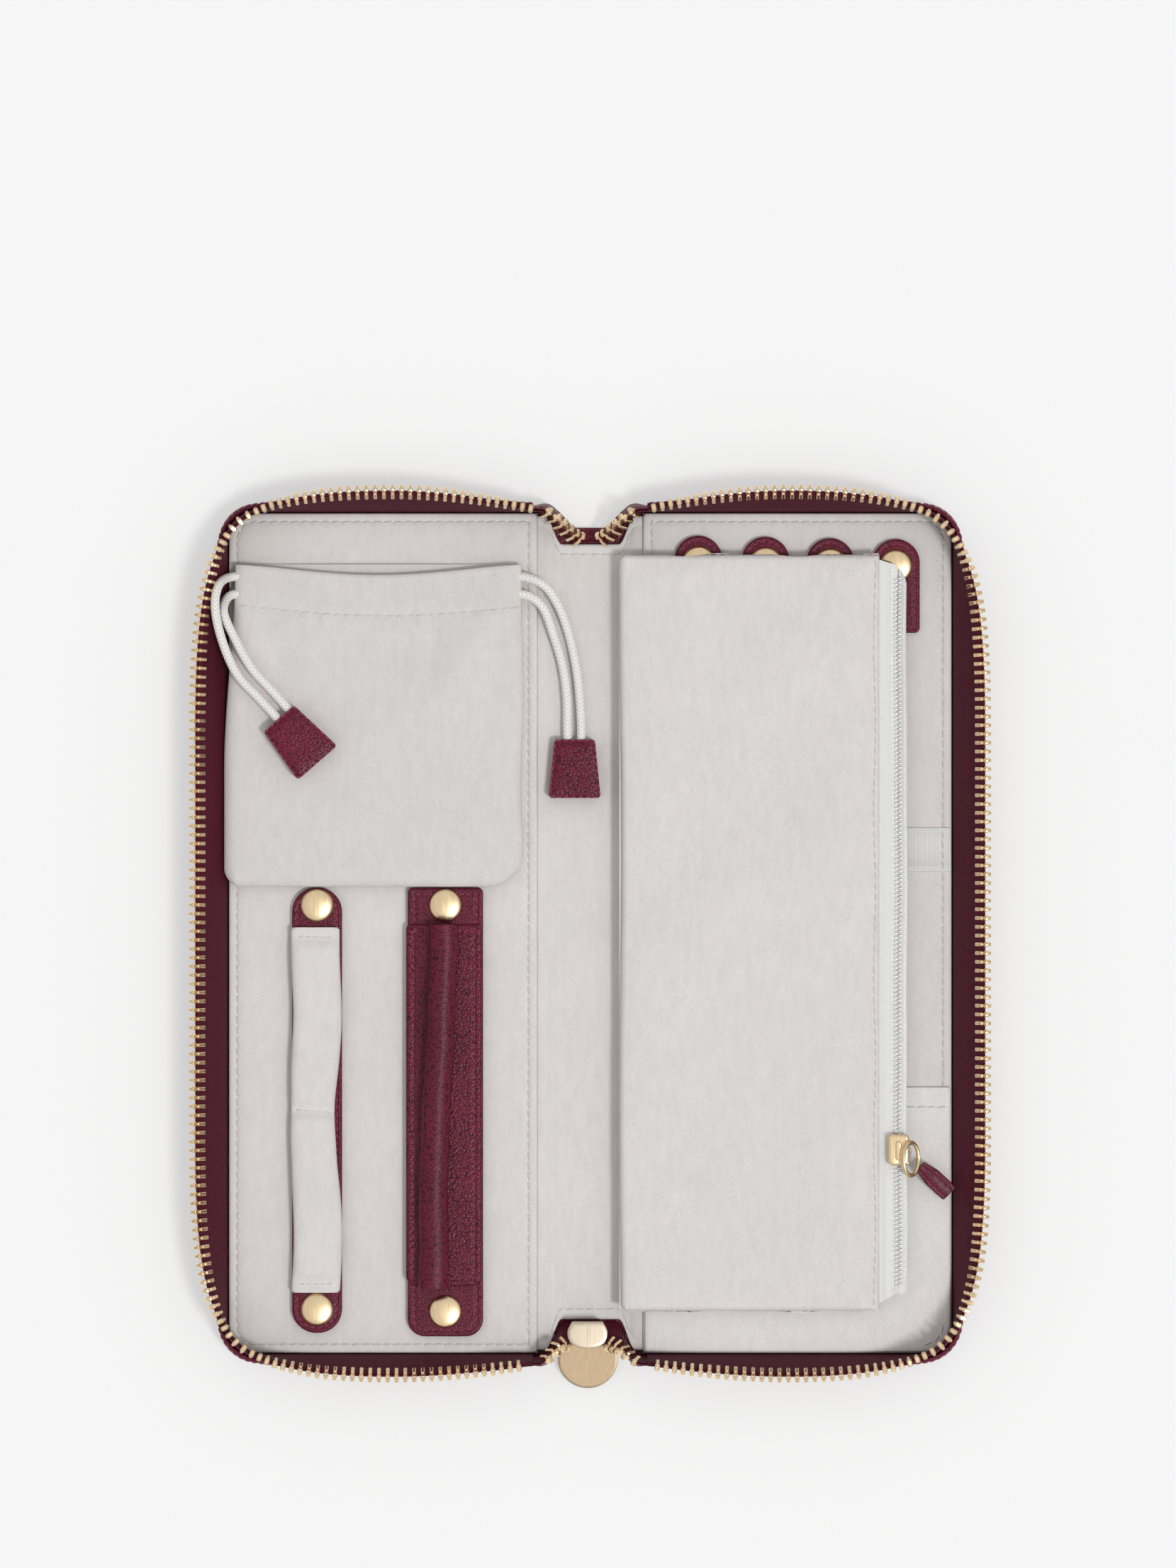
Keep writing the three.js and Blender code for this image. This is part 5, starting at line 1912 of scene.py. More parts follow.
@dataclass
class EarringBar(Bar):
    """The earring bar: a stitched base strap, a stitched panel and a rolled leather tube."""

    name: str = "earring_bar"
    x: float = -42.1
    width: float = 21.9
    low: float = -117.2
    lower_stud: float = -110.0
    panel_left: float = -53.5
    panel_right: float = -31.6
    panel_low: float = -102.5
    panel_high: float = 2.5
    panel_thickness: float = 1.2
    roll_width: float = 8.0
    roll_height: float = 6.2
    roll_head: float = -42.5
    roll_foot: float = -45.4

    def build(self) -> None:
        """Builds every piece of the bar."""
        self.base("earring_bar_base", (5.0, 5.0, 1.5, 1.5), 1.9, 10)
        raised = self.top + self.panel_thickness
        left, right = self.panel_left, self.panel_right
        panel = Plate(left, right, self.panel_low, self.panel_high, (3.0, 3.0, 1.2, 1.2))
        strap("earring_bar_panel", panel, (self.top, raised), 2.1, self.name, PEBBLED)
        self.roll(raised)
        self.studs()

    def roll(self, base: float) -> None:
        """The rolled tube, which drifts to the left towards its lower end, and the flap beside it.

        Args:
            base: the height that they lie on.
        """
        start, end = self.panel_high, self.panel_low - 0.6

        def middle(u: float) -> float:
            """Where the tube's middle lies at a share of its length."""
            return mix(self.roll_head, self.roll_foot, smooth(u, 0.0, 0.75))

        def place(u: float, v: float) -> Vector:
            """The point at a share of the length and a share of a turn."""
            wide = (self.roll_width + 0.7 * u) / 2 + 0.08 * math.sin(u * 41)
            x = middle(u) + 0.12 * math.sin(u * 23) + wide * math.cos(math.tau * v)
            rise = math.sin(math.tau * v)
            half = self.roll_height / 2
            return Vector((x, mix(start, end, u), base + half + half * (0.9 if rise < 0 else 1.0) * rise))

        bm = surface(130, 36, place)
        bmesh.ops.remove_doubles(bm, verts=bm.verts, dist=1e-3)
        for edge_at in (start, end):
            rim = [e for e in bm.edges if e.is_boundary and abs(e.verts[0].co.y - edge_at) < 0.01]
            filled = bmesh.ops.holes_fill(bm, edges=rim, sides=0)["faces"]
            bmesh.ops.inset_region(bm, faces=filled, thickness=1.1, depth=0.0, use_even_offset=True)
            inward = -1.6 if edge_at == start else 1.6
            sunk = bmesh.ops.extrude_discrete_faces(bm, faces=filled)["faces"]
            bmesh.ops.translate(bm, vec=(0, inward, 0), verts=sunk[0].verts)
        made = piece("earring_bar_roll_leather", sealed(bm), SMOOTH, "earring_bar", ["earring_bar_roll"], 60)
        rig.padded(made, fill=0.85)

        def flap(u: float, v: float) -> Vector:
            """The point of the flap at a share of the length and a share of the way from the tube."""
            left = middle(u) - self.roll_width / 2
            x = mix(left + 2.6, mix(-50.6, -51.4, u), v)
            return Vector((x, mix(start - 0.4, end + 1.0, u), base + 0.15 + 1.9 * (1 - v) ** 2))

        skin = surface(110, 8, flap)
        bmesh.ops.solidify(skin, geom=skin.faces, thickness=0.7)
        bmesh.ops.recalc_face_normals(skin, faces=skin.faces)
        piece("earring_bar_flap_leather", skin, SMOOTH, "earring_bar", sharp=60)


@dataclass(frozen=True)
class Fold:
    """A soft ridge or hollow in cloth, from one place to another."""

    start: tuple[float, float]
    end: tuple[float, float]
    width: float
    height: float

    def at(self, x: float, y: float) -> float:
        """The fold's height at a place, fading to its sides and its ends.

        Args:
            x: the place, across.
            y: the place, along.

        Returns:
            The height.
        """
        line = Vector(self.end) - Vector(self.start)
        off = Vector((x, y)) - Vector(self.start)
        share = clamp(off.dot(line) / line.length_squared, 0, 1)
        gap = (off - line * share).length
        return self.height * hump(gap, 0, self.width) * (0.35 + 0.65 * math.sin(math.pi * share))


@dataclass
class DrawstringPouch:
    """The velvet drawstring pouch, open at its head, with a sewn channel for the cords."""

    top: float = 107.2
    low: float = 13.5
    right: float = -19.7
    left_mouth: float = -103.2
    left_below: float = -106.4
    seam: float = 7.4
    crown: float = 2.7
    depth: float = 2.6
    folds: tuple[Fold, ...] = (
        Fold((-26, 92), (-50, 58), 6.0, 1.44),
        Fold((-24, 88), (-34, 50), 4.5, -0.88),
        Fold((-30, 93), (-72, 48), 9.0, 1.04),
        Fold((-60, 46), (-92, 34), 10.0, -0.72),
        Fold((-96, 92), (-86, 70), 5.0, -0.8),
        Fold((-90, 93), (-72, 66), 6.0, 0.64),
        Fold((-60, 92), (-62, 76), 4.0, 0.48),
        Fold((-46, 91), (-44, 74), 3.0, -0.48),
        Fold((-34, 30), (-74, 26), 8.0, 0.56),
    )

    def build(self) -> None:
        """Builds the pouch and its stitches."""
        bm = self.bag()
        # The pouch takes the darker velvet copy, whose extra darkness is painted shade.
        piece("drawstring_pouch_velvet", bm, POUCH_PAINTED_SHADE_VELVET, "left_half", ["drawstring_pouch"], 80)
        across = [mix(self.left_mouth + 1.0, self.right - 1.0, i / 80) for i in range(81)]
        line = [(x, self.channel_line(x)) for x in across]
        thread = Run((x, y, self.over(x, y) + 0.02) for x, y in line)
        LINING_SEAM.sew("drawstring_pouch_stitching", [thread], "left_half")

    def channel_line(self, x: float) -> float:
        """The sagging line of the channel's stitches."""
        share = (x - self.left_mouth) / (self.right - self.left_mouth)
        return 95.4 - 3.4 * math.sin(math.pi * clamp(share * 0.92, 0, 1)) + 0.3 * share

    def edges(self, y: float) -> tuple[float, float]:
        """The pouch's left and right edges at a place along it.

        Args:
            y: the place.

        Returns:
            The two edges.
        """
        up, down = y - self.low, self.top - y
        left = mix(self.left_mouth, self.left_below, smooth(down, 0, 60))
        right = self.right + 0.35 * math.sin(y * 0.11)
        return left + corner_inset(up, 5.5), right - corner_inset(up, 10.5)

    def plan(self, u: float, v: float) -> Vector:
        """The plan point at two shares, spaced closer at the edges.

        Args:
            u: the share across.
            v: the share of the way up.

        Returns:
            The point.
        """
        y = mix(self.low, self.top, eased(v) if v < 0.5 else mix(0.5, 1, 2 * (v - 0.5)))
        left, right = self.edges(y)
        return Vector((mix(left, right, eased(u)), y, 0))

    def over(self, x: float, y: float) -> float:
        """The front's height over a place.

        Args:
            x: the place, across.
            y: the place, along.

        Returns:
            The height.
        """
        left, right = self.edges(y)
        near = min(x - left, right - x, y - self.low)
        swell = rounding(near, 3.4) * (0.62 + 0.38 * rounding(near, 30))
        mouth = smooth(self.top - y, 0, 16)
        height = self.seam + self.crown * swell * mix(0.62, 1.0, mouth)
        fade = smooth(near, 0, 9)
        channel = self.channel_line(x)
        groove = 0.32 * hump(y, channel, 0.8)
        gather = 0.16 * math.sin(x * 0.9 + 1.7 * math.sin(x * 0.23)) * hump(y, channel, 4)
        return height + fade * (sum(fold.at(x, y) for fold in self.folds) + gather - groove)

    def under(self, x: float, y: float) -> float:
        """The back's height under a place.

        Args:
            x: the place, across.
            y: the place, along.

        Returns:
            The height.
        """
        left, right = self.edges(y)
        near = min(x - left, right - x, y - self.low)
        return self.seam - self.depth * rounding(near, 2.6)

    def bag(self) -> Shape:
        """The pouch's front, its back and the inside of its mouth, as one closed skin.

        Returns:
            The skin.
        """
        columns, rows, lip = 110, 90, 8
        dip, thick, inside = 2.9, 0.8, 11.0

        def arch(x: float) -> float:
            """A bow over the mouth: 0 at its two ends and 1 in its middle."""
            return math.sin(math.pi * clamp((x - self.left_mouth) / (self.right - self.left_mouth), 0, 1))

        def front_edge(x: float) -> float:
            """How far the front's edge reaches at a place across the mouth."""
            return self.top - 0.4 - dip * arch(x) ** 1.5

        def place(u: float, v: float) -> Vector:
            """The point at a share across and a share of the way up the front, in, out and down the back."""
            step = round(v * (2 * rows + 2 * lip))
            if step <= rows:
                spot = self.plan(u, step / rows)
                spot.y -= (self.top - front_edge(spot.x)) * smooth(step / rows, 0.55, 1)
                spot.z = self.over(spot.x, spot.y)
                return spot
            if step <= rows + lip:
                share = (step - rows) / lip
                spot = self.plan(u, 1)
                gap = arch(spot.x) ** 0.6
                y = front_edge(spot.x) - inside * smooth(share, 0.12, 1)
                drop = thick * smooth(share, 0, 0.2) + 0.2 * share
                high = self.over(spot.x, max(y, self.top - 12))
                return Vector((spot.x, y + 0.25 * (share < 0.2), high - drop * gap))
            if step < rows + 2 * lip:
                share = 1 - (step - rows - lip) / lip
                spot = self.plan(u, 1)
                gap = arch(spot.x) ** 0.6
                y = self.top - inside * smooth(share, 0.12, 1)
                floor = self.under(spot.x, y) + thick * gap
                return Vector((spot.x, y, mix(floor, self.seam, 0.25 * share * gap)))
            share = (step - rows - 2 * lip) / rows
            spot = self.plan(u, 1 - share)
            spot.z = self.under(spot.x, spot.y)
            return spot

        return sealed(surface(columns, 2 * rows + 2 * lip, place), 2e-3)


@dataclass(frozen=True)
class Cord:
    """A braided cord through chosen points, from inside the pouch's channel to inside its leather end."""

    node: str
    points: tuple[Spot, ...]
    diameter: float = 2.7
    columns: int = 8
    strand_pitch: float = 1.15
    marks: int = 30

    def build(self, body: str, ending: Sequence[bpy.types.Object]) -> bpy.types.Object:
        """Builds the cord.

        Args:
            body: the body that it rides on, or "" where it is blended later.
            ending: the leather end that goes with it.

        Returns:
            The cord.
        """
        run = Run(flowing(self.points, 10))
        radius = self.diameter / 2

        def braid(distance: float, share: float) -> float:
            """The radius at a distance along the cord and a share of a turn."""
            turn = share * self.columns % 2
            slant = min(turn, 2 - turn) * 0.92
            lay = abs(math.sin(math.pi * (distance + slant) / self.strand_pitch))
            groove = abs(math.sin(math.pi * turn))
            return radius * (0.88 + 0.07 * lay + 0.05 * groove)

        bm = tube(run, braid, round(run.length / 0.28), 32)
        made = piece(self.node + "_braid", bm, BRAID, body, [self.node], 180)
        path = [run.at(i / self.marks * run.length) * MM for i in range(self.marks + 1)]
        log.info("%s is %.1f mm long", self.node, run.length)
        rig.cord(
            made,
            exit=tuple(path[0]),
            length=round(run.length, 1) * MM,
            diameter=self.diameter * MM,
            far_end="fitting",
            stiffness="limp",
            lay="loose",
            path=[tuple(p) for p in path],
            with_pieces=ending,
        )
        return made


@dataclass(frozen=True)
class CordEnd:
    """The folded leather end on a pair of cords: two layers, wider at the free end, stitched all round."""

    name: str
    x: float
    y: float
    bottom: float
    turn: float
    narrow: float = 6.1
    wide: float = 7.9
    length: float = 17.6
    thickness: float = 3.7
    sewn: float = 1.55

    def build(self, body: str) -> list[bpy.types.Object]:
        """Builds the leather end and its stitches.

        Args:
            body: the body that they ride on.

        Returns:
            The two pieces.
        """
        half = self.length / 2
        corners = ((-self.wide, -half), (self.wide, -half), (self.narrow, half), (-self.narrow, half))
        outline = Block(corners, 1.3)
        top = self.thickness
        middle = top / 2
        rings = [(0.7, 0), (0.2, 0.15), (0.0, 0.6), (0.0, middle - 0.25), (0.25, middle)]
        rings += [(0.0, middle + 0.25), (0.0, top - 0.7), (0.22, top - 0.22), (0.8, top), (1.1, top)]
        rings += [(self.sewn, top - 0.18), (2.0, top), (3.2, top + 0.12), (4.6, top + 0.15)]
        bm = plate(outline, rings)
        stand = Matrix.Rotation(math.radians(self.turn), 4, "Z")
        stand = Matrix.Translation((self.x, self.y, self.bottom)) @ stand
        bmesh.ops.transform(bm, matrix=stand, verts=bm.verts)
        leather = piece(self.name + "_leather", bm, PEBBLED, body, [self.name], 60)
        loop = [stand @ p for p in outline.ring(self.sewn, top - 0.02)]
        seam = LEATHER_SEAM.sew(self.name + "_stitching", [Run(loop, closed=True)], body)
        return [leather, seam]


LEFT_CORDS = (
    Cord(
        "left_cord_outer",
        (
            (-99.4, 103.8, 6.5), (-104.7, 103.4, 8.3), (-107.6, 101.2, 13.6), (-108.7, 96.5, 15.4),
            (-107.6, 88, 14.8), (-102.6, 75.4, 12.8), (-96.4, 68.5, 12.8), (-92.2, 64, 12.9),
            (-89.6, 61.0, 13.0),
        ),
    ),
    Cord(
        "left_cord_inner",
        (
            (-99.6, 98.6, 6.6), (-104.7, 98, 8.6), (-106.3, 93.4, 13), (-102.8, 85, 12.8),
            (-98.2, 77, 12.8), (-93, 71.2, 12.8), (-89.2, 67, 12.9), (-86.6, 63.9, 13.0),
        ),
    ),
)
RIGHT_CORDS = (
    Cord(
        "right_cord_outer",
        (
            (-23.4, 103.8, 6.3), (-18.4, 103.4, 7.6), (-13.3, 101, 8.2), (-9.4, 95.5, 6),
            (-6.4, 87.6, 4.7), (-4.2, 78, 4.7), (-3, 68.1, 4.8), (-2.6, 57, 5.1), (-3.3, 52.8, 5.2),
        ),
    ),
    Cord(
        "right_cord_inner",
        (
            (-23.4, 98.6, 6.3), (-18.4, 98.2, 7.4), (-14, 95, 7.4), (-10.8, 86.9, 4.9),
            (-8, 77.4, 4.7), (-6.8, 68.1, 4.8), (-6.6, 57, 5.1), (-6.2, 52.8, 5.2),
        ),
    ),
)


@dataclass
class DrawCords:
    """The two pairs of cords that leave the pouch's channel, each pair joined in a leather end."""

    left_end: CordEnd = CordEnd("left_cord_end", -84.7, 55.9, 11.2, 41.0)
    right_end: CordEnd = CordEnd("right_cord_end", -4.5, 47.8, 3.3, 0.0)
    pouch_edge: float = -19.0
    spine_side: float = -9.0

    def build(self) -> None:
        """Builds the cords and their leather ends."""
        left_end = self.left_end.build("left_half")
        right_end = self.right_end.build("spine")
        for cord in LEFT_CORDS:
            cord.build("left_half", left_end)
        near, far = (self.pouch_edge * MM, 0, 0), (self.spine_side * MM, 0, 0)
        for cord in RIGHT_CORDS:
            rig.blend(cord.build("", right_end), "left_half", "spine", near, far)


# Right half


@dataclass
class NecklaceTabs:
    """Four leather tabs with round heads, each closed by a press stud."""

    centres: tuple[float, ...] = (31.5, 51.0, 69.8, 88.9)
    heads: tuple[float, ...] = (115.5, 115.2, 114.8, 114.5)
    width: float = 13.8
    length: float = 27.2
    bottom: float = 4.8
    thickness: float = 1.4
    cap_inset: float = 7.7
    stud: PressStud = PressStud()

    def build(self) -> None:
        """Builds the tabs with their studs."""
        top, half = self.bottom + self.thickness, self.width / 2
        for number, (x, head) in enumerate(zip(self.centres, self.heads), 1):
            body = f"tab_{number}"
            radii = (1.5, 1.5, half - 0.1, half - 0.1)
            plan = Plate(x - half, x + half, head - self.length, head, radii, steps=14)
            strap(f"necklace_tab_{number}", plan, (self.bottom, top), 1.4, body)
            y = head - self.cap_inset
            self.stud.cap(f"necklace_cap_{number}", x, y, top, body)
            self.stud.lower(f"tab_stud_{number}", x, y, LINING_TOP, self.bottom, "right_half")


@dataclass
class FlatHolders:
    """The elastic band and the slip pocket on the right half."""

    left: float = 15.9
    right: float = 104.7
    base: float = LINING_TOP
    band_low: float = 17.8
    band_high: float = 30.7
    band_cord: float = 0.62
    pocket_low: float = -121.7
    pocket_high: float = -44.8
    hem: float = 6.0

    def build(self) -> None:
        """Builds the band and the pocket."""
        self.band()
        self.pocket()

    def band(self) -> None:
        """The elastic band: a ribbed middle between corded edges."""
        low, high, base, cord = self.band_low, self.band_high, self.base, self.band_cord
        profile = [(low, base + 0.02)]
        for edge, way in ((low, 1), (high, -1)):
            cords = []
            for k in range(3):
                start = edge + way * k * cord
                for share in (0.125, 0.375, 0.625, 0.875):
                    rise = 0.42 + 0.3 * math.sin(math.pi * share)
                    cords.append((start + way * cord * share, base + rise))
            profile += cords if way > 0 else [(mix(low, high, 0.5), base + 0.5), *reversed(cords)]
        profile += [(high, base + 0.02)]

        def place(u: float, y: float, z: float) -> Vector:
            """The profile's point at a share of the band's length."""
            return Vector((mix(self.left, self.right, u), y, z))

        bm = swept(120, profile, place, self.right - self.left)
        piece("elastic_band_webbing", bm, ELASTIC, "right_half", ["elastic_band"], 60)
        line = Run([(self.right - 2.2, y, base + 0.6) for y in (low + 0.6, high - 0.6)])
        LINING_SEAM.sew("elastic_band_stitching", [line], "right_half")

    def pocket(self) -> None:
        """The slip pocket with a turned hem along its mouth."""
        base = self.base
        body = Plate(self.left, self.right, self.pocket_low, self.pocket_high, (0.6, 8.0, 0.6, 0.6))
        rings = [(0.2, 0.02), (0.0, 0.2), (0.05, 0.5), (0.35, 0.68), (1.5, 0.7)]
        bm = plate(body, [(inset, base + rise) for inset, rise in rings])
        hem = Plate(self.left, self.right, self.pocket_high - self.hem, self.pocket_high, (0.5,) * 4)
        rings = [(0.0, 0.5), (0.0, 0.85), (0.12, 1.02), (0.4, 1.1), (1.0, 1.1)]
        absorb(bm, plate(hem, [(inset, base + rise) for inset, rise in rings]))
        # The pocket takes the lighter velvet copy, whose extra brightness is painted light.
        piece("slip_pocket_velvet", bm, POCKET_PAINTED_LIGHT_VELVET, "right_half", ["slip_pocket"])
        y, z = self.pocket_high - self.hem + 0.7, base + 1.08
        mouth = Run([(self.left + 4, y, z), (self.right - 1, y - 0.4, z)])
        edge = body.ring(2.1, base + 0.72)
        side = [p for p in edge if p.y < self.pocket_high - self.hem - 1 and p.x > self.left + 5]
        side.sort(key=lambda p: math.atan2(p.y + 80, p.x - 60))
        LINING_SEAM.sew("slip_pocket_stitching", [mouth, Run(side)], "right_half")


@dataclass
class ZipPouchPage:
    """The velvet zip pouch that turns like a page, with its nylon zip along the free edge."""

    left: float = 8.5
    right: float = 84.0
    head: float = 109.9
    foot: float = -109.7
    under_z: float = 8.6
    seam: float = 9.8
    crown: float = 2.8
    tape_right: float = 92.2
    coil_x: float = 89.45
    slider_y: float = -62.8
    coil_pitch: float = 1.25
    tape_rise: float = 0.4
    slider_gap: float = 0.3
    folds: tuple[Fold, ...] = (
        Fold((20, 36), (76, 96), 13.0, 1.04),
        Fold((12, 10), (70, 62), 12.0, -0.85),
        Fold((14, -20), (60, 22), 16.0, 0.57),
        Fold((76, -20), (66, -96), 10.0, 0.57),
        Fold((12, -60), (40, -100), 12.0, -0.47),
        Fold((70, 104), (82, 80), 5.0, 0.66),
        Fold((80, 60), (82, 10), 3.0, -0.47),
        Fold((14, 100), (34, 106), 6.0, 0.57),
    )

    def build(self) -> None:
        """Builds the pouch, its binding, its zip and its pull."""
        bm = pillow(96, 150, self.plan, self.over, self.under)
        piece("page_pouch_velvet", bm, VELVET, "page", ["page_pouch"], 80)
        along = [mix(self.foot + 1.4, self.head - 1.4, i / 120) for i in range(121)]
        line = [(self.right - 1.5 + 0.25 * math.sin(y * 0.13), y) for y in along]
        thread = Run((x, y, self.over(x, y) + 0.02) for x, y in line)
        LINING_SEAM.sew("page_pouch_stitching", [thread], "page")
        self.binding()
        self.zip_tape()
        self.coil()
        self.slider()
        self.pull()

    def edges(self, y: float) -> tuple[float, float]:
        """The pouch's left and right edges at a place along it, with its small round corners.

        Args:
            y: the place.

        Returns:
            The two edges.
        """
        near = min(y - self.foot, self.head - y)
        wander = 0.35 * math.sin(y * 0.041 + 0.6)
        return self.left + 0.35 + wander + corner_inset(near, 2.2), self.right - corner_inset(near, 0.7)

    def plan(self, u: float, v: float) -> Vector:
        """The plan point at two shares, with its ends rippled.

        Args:
            u: the share across.
            v: the share of the way up.

        Returns:
            The point.
        """
        y = mix(self.foot, self.head, eased(v))
        left, right = self.edges(clamp(y, self.foot, self.head))
        x = mix(left, right, eased(u))
        ripple = 0.3 * math.sin(x * 0.17 + 0.8) + 0.25 * math.sin(x * 0.39)
        return Vector((x, y + ripple * smooth(abs(y), 90, 109), 0))

    def near(self, x: float, y: float) -> float:
        """The distance to the pouch's nearest edge."""
        left, right = self.edges(clamp(y, self.foot + 0.01, self.head - 0.01))
        return max(0.0, min(x - left, right - x, y - self.foot, self.head - y))

    def over(self, x: float, y: float) -> float:
        """The upper face's height.

        Args:
            x: the place, across.
            y: the place, along.

        Returns:
            The height.
        """
        near, sewn = self.near(x, y), self.right - 1.5
        swell = rounding(near, 1.6) * 0.5 + 0.5 * rounding(near, 14)
        pucker = 0.12 * math.sin(y * 0.5 + math.sin(y * 0.17) * 2) * hump(x, sewn, 3)
        groove = 0.25 * hump(x, sewn, 0.7)
        loose = smooth(near, 0.3, 6) * sum(fold.at(x, y) for fold in self.folds)
        return self.seam + self.crown * swell + loose + smooth(near, 0.1, 1.2) * (pucker - groove)

    def under(self, x: float, y: float) -> float:
        """The lower face's height."""
        return self.seam - (self.seam - self.under_z) * rounding(self.near(x, y), 1.4)

    def binding(self) -> None:
        """The hinge strip from the spine's hem to the pouch's left edge."""
        foot_x, head_x, low, top = 12.3, 8.4, 6.6, self.seam - 0.3
        profile = [(foot_x - 0.9, low), (foot_x, low), (foot_x + 0.05, low + 0.5)]
        profile += [(head_x + 0.6, top - 0.05), (head_x + 0.2, top)]
        profile += [(head_x, top - 0.15), (head_x, top - 0.6)]
        half = 109

        def place(u: float, x: float, z: float) -> Vector:
            """The profile's point at a share of the strip's length."""
            return Vector((x, mix(-half, half, u), z))

        bm = swept(80, profile, place, 2 * half)
        piece("page_binding_velvet", bm, VELVET, "page_hinge", ["page_binding"], 60)

    def wave(self, y: float) -> float:
        """The zip's slight sway across its length."""
        return 0.14 * math.sin(y * 0.05 + 0.4) + 0.07 * math.sin(y * 0.13)

    def zip_tape(self) -> None:
        """The two nylon tapes under the coil, the free one narrower, cut short at the foot."""
        z = self.seam

        def head(x: float) -> float:
            """The tape's end, which turns away in a quarter ellipse."""
            share = clamp((x - self.right) / 8.0, 0, 1)
            return self.head - 1.4 - 8.4 * (1 - math.sqrt(1 - share**2))

        def tape(left: float, right: float, foot: float, slope: float) -> Shape:
            """One of the two tapes, between two places across the zip."""
            profile = [(mix(left, right, i / 6), z + 0.38 - 0.05 * (i in (0, 6))) for i in range(7)]
            profile += [(right, z - 0.38), (left, z - 0.38)]

            def place(u: float, x: float, height: float) -> Vector:
                """The profile's point at a share of the tape's length."""
                y = mix(foot + slope * (x - left), head(x), u)
                return Vector((x + self.wave(y), y, height))

            return swept(150, profile, place, self.head - foot)

        bm = tape(self.right - 1.2, self.coil_x - 0.1, self.foot + 1.6, 0.6)
        absorb(bm, tape(self.coil_x + 0.1, self.tape_right - 0.3, self.foot + 4.6, 0.5))
        piece("page_zip_tape_weave", bm, NYLON, "page", ["page_zip_tape"], 60)
        lines = []
        for x in (self.coil_x - 1.75, self.coil_x + 1.75):
            end = self.head - (3.5 if x < self.coil_x else 8)
            ys = [mix(self.foot + 7, end, i / 150) for i in range(151)]
            lines.append(Run((x + self.wave(y), y, z + 0.42) for y in ys))
        Seam(1.5, 1.3, 0.34, 12.0, COIL).sew("page_zip_tape_stitching", lines, "page")

    def coil(self) -> None:
        """The nylon coil: two rows of small loops that mesh along the middle."""
        loop = bmesh.new()
        bmesh.ops.create_uvsphere(loop, u_segments=8, v_segments=6, radius=0.5)
        bmesh.ops.scale(loop, vec=(1.45, 0.56, 1.15), verts=loop.verts)
        places = []
        start, end = self.foot + 7.2, self.head - 5.4
        count = int((end - start) / self.coil_pitch)
        z = self.seam + self.tape_rise + 0.55
        for i in range(count):
            for row, way in enumerate((-1, 1)):
                y = start + (i + 0.5 * row) * self.coil_pitch
                if abs(y - self.slider_y) < 4.2:
                    continue
                x = self.coil_x + way * 0.52 + self.wave(y)
                lean = Matrix.Rotation(math.radians(14 * way), 4, "Z")
                places.append(Matrix.Translation((x, y, z)) @ lean)
        piece("page_zip_coil_loops", scatter(loop, places), COIL, "page", ["page_zip_coil"], 180)

    def slider(self) -> None:
        """The small slider over the coil, with a bridge for its ring."""
        x, y = self.coil_x, self.slider_y
        low = self.seam + self.tape_rise + self.slider_gap
        roof = low + 1.45
        top = roof + 1.25
        body = Plate(x - 3.0, x + 3.0, y - 4.5, y + 4.5, (1.6, 1.6, 1.1, 1.1))
        bm = plate(body, [(0.3, roof), (0.0, roof + 0.15), (0.0, roof + 0.9), (0.25, top - 0.1), (0.8, top)])
        for middle in (x - 2.25, x + 2.25):
            cheek = Plate(middle - 0.75, middle + 0.75, y - 4.2, y + 4.2, (0.5,) * 4)
            absorb(bm, plate(cheek, [(0.2, low), (0.0, low + 0.15), (0.0, roof + 0.3), (0.2, roof + 0.4)]))
        bridge = Plate(x - 0.9, x + 0.9, y - 3.0, y + 2.6, (0.8,) * 4)
        absorb(bm, plate(bridge, [(0.0, top - 0.2), (0.0, top + 0.25), (0.2, top + 0.42), (0.5, top + 0.48)]))
        piece("page_zip_slider_body", bm, SATIN, "page_slider", ["page_zip_slider"], 45)

    def pull(self) -> None:
        """The oval ring through the slider and the folded leather pull on it."""
        radius, wire = 4.2, 0.62
        top = self.seam + self.tape_rise + self.slider_gap + 3.1
        bm = bmesh.new()
        across = Matrix.Translation((radius, 0, 0)) @ Matrix.Rotation(math.pi / 2, 4, "X")
        section = bmesh.ops.create_circle(bm, segments=14, radius=wire, matrix=across)["verts"]
        edges = {edge for vert in section for edge in vert.link_edges}
        spun(bm, section + list(edges), 48)
        bmesh.ops.scale(bm, vec=(0.76, 1.14, 1.0), verts=bm.verts)
        lean = Matrix.Rotation(math.radians(45), 4, "Y")
        hung = Matrix.Translation((93, self.slider_y - 2.6, top + 0.1)) @ lean
        bmesh.ops.transform(bm, matrix=hung, verts=bm.verts)
        piece("page_pull_ring_wire", sealed(bm), SATIN, "page_pull", ["page_pull_ring"], 60)
        self.leather_pull()

    def leather_pull(self) -> None:
        """The leather pull: a strip folded through the ring, its two layers flaring to the free end."""
        start, end = Vector((95.9, -67.7, 10.9)), Vector((104.3, -75.5, 8.1))
        along = (end - start).normalized()
        across = along.cross(UP).normalized()
        up = across.cross(along)
        length = (end - start).length

        def place(u: float, v: float) -> Vector:
            """The point at a share of the length and a share of a turn."""
            rounded = rounding(min(u, 1 - u) * length, 1.0)
            wide = mix(1.9, 2.75, smooth(u, 0.0, 0.45)) * (1 - 0.12 * (1 - rounded))
            tall = mix(1.35, 0.95, smooth(u, 0.0, 0.5))
            x = wide * squared(math.cos(math.tau * v), 0.5)
            z = tall * squared(math.sin(math.tau * v), 0.5)
            z -= 0.22 * hump(abs(x), wide * 0.62, 0.35) * (z > 0)
            slit = 0.3 * hump(z, 0, 0.22) * (abs(x) > wide * 0.8)
            return start + along * u * length + across * (x - math.copysign(slit, x)) + up * z

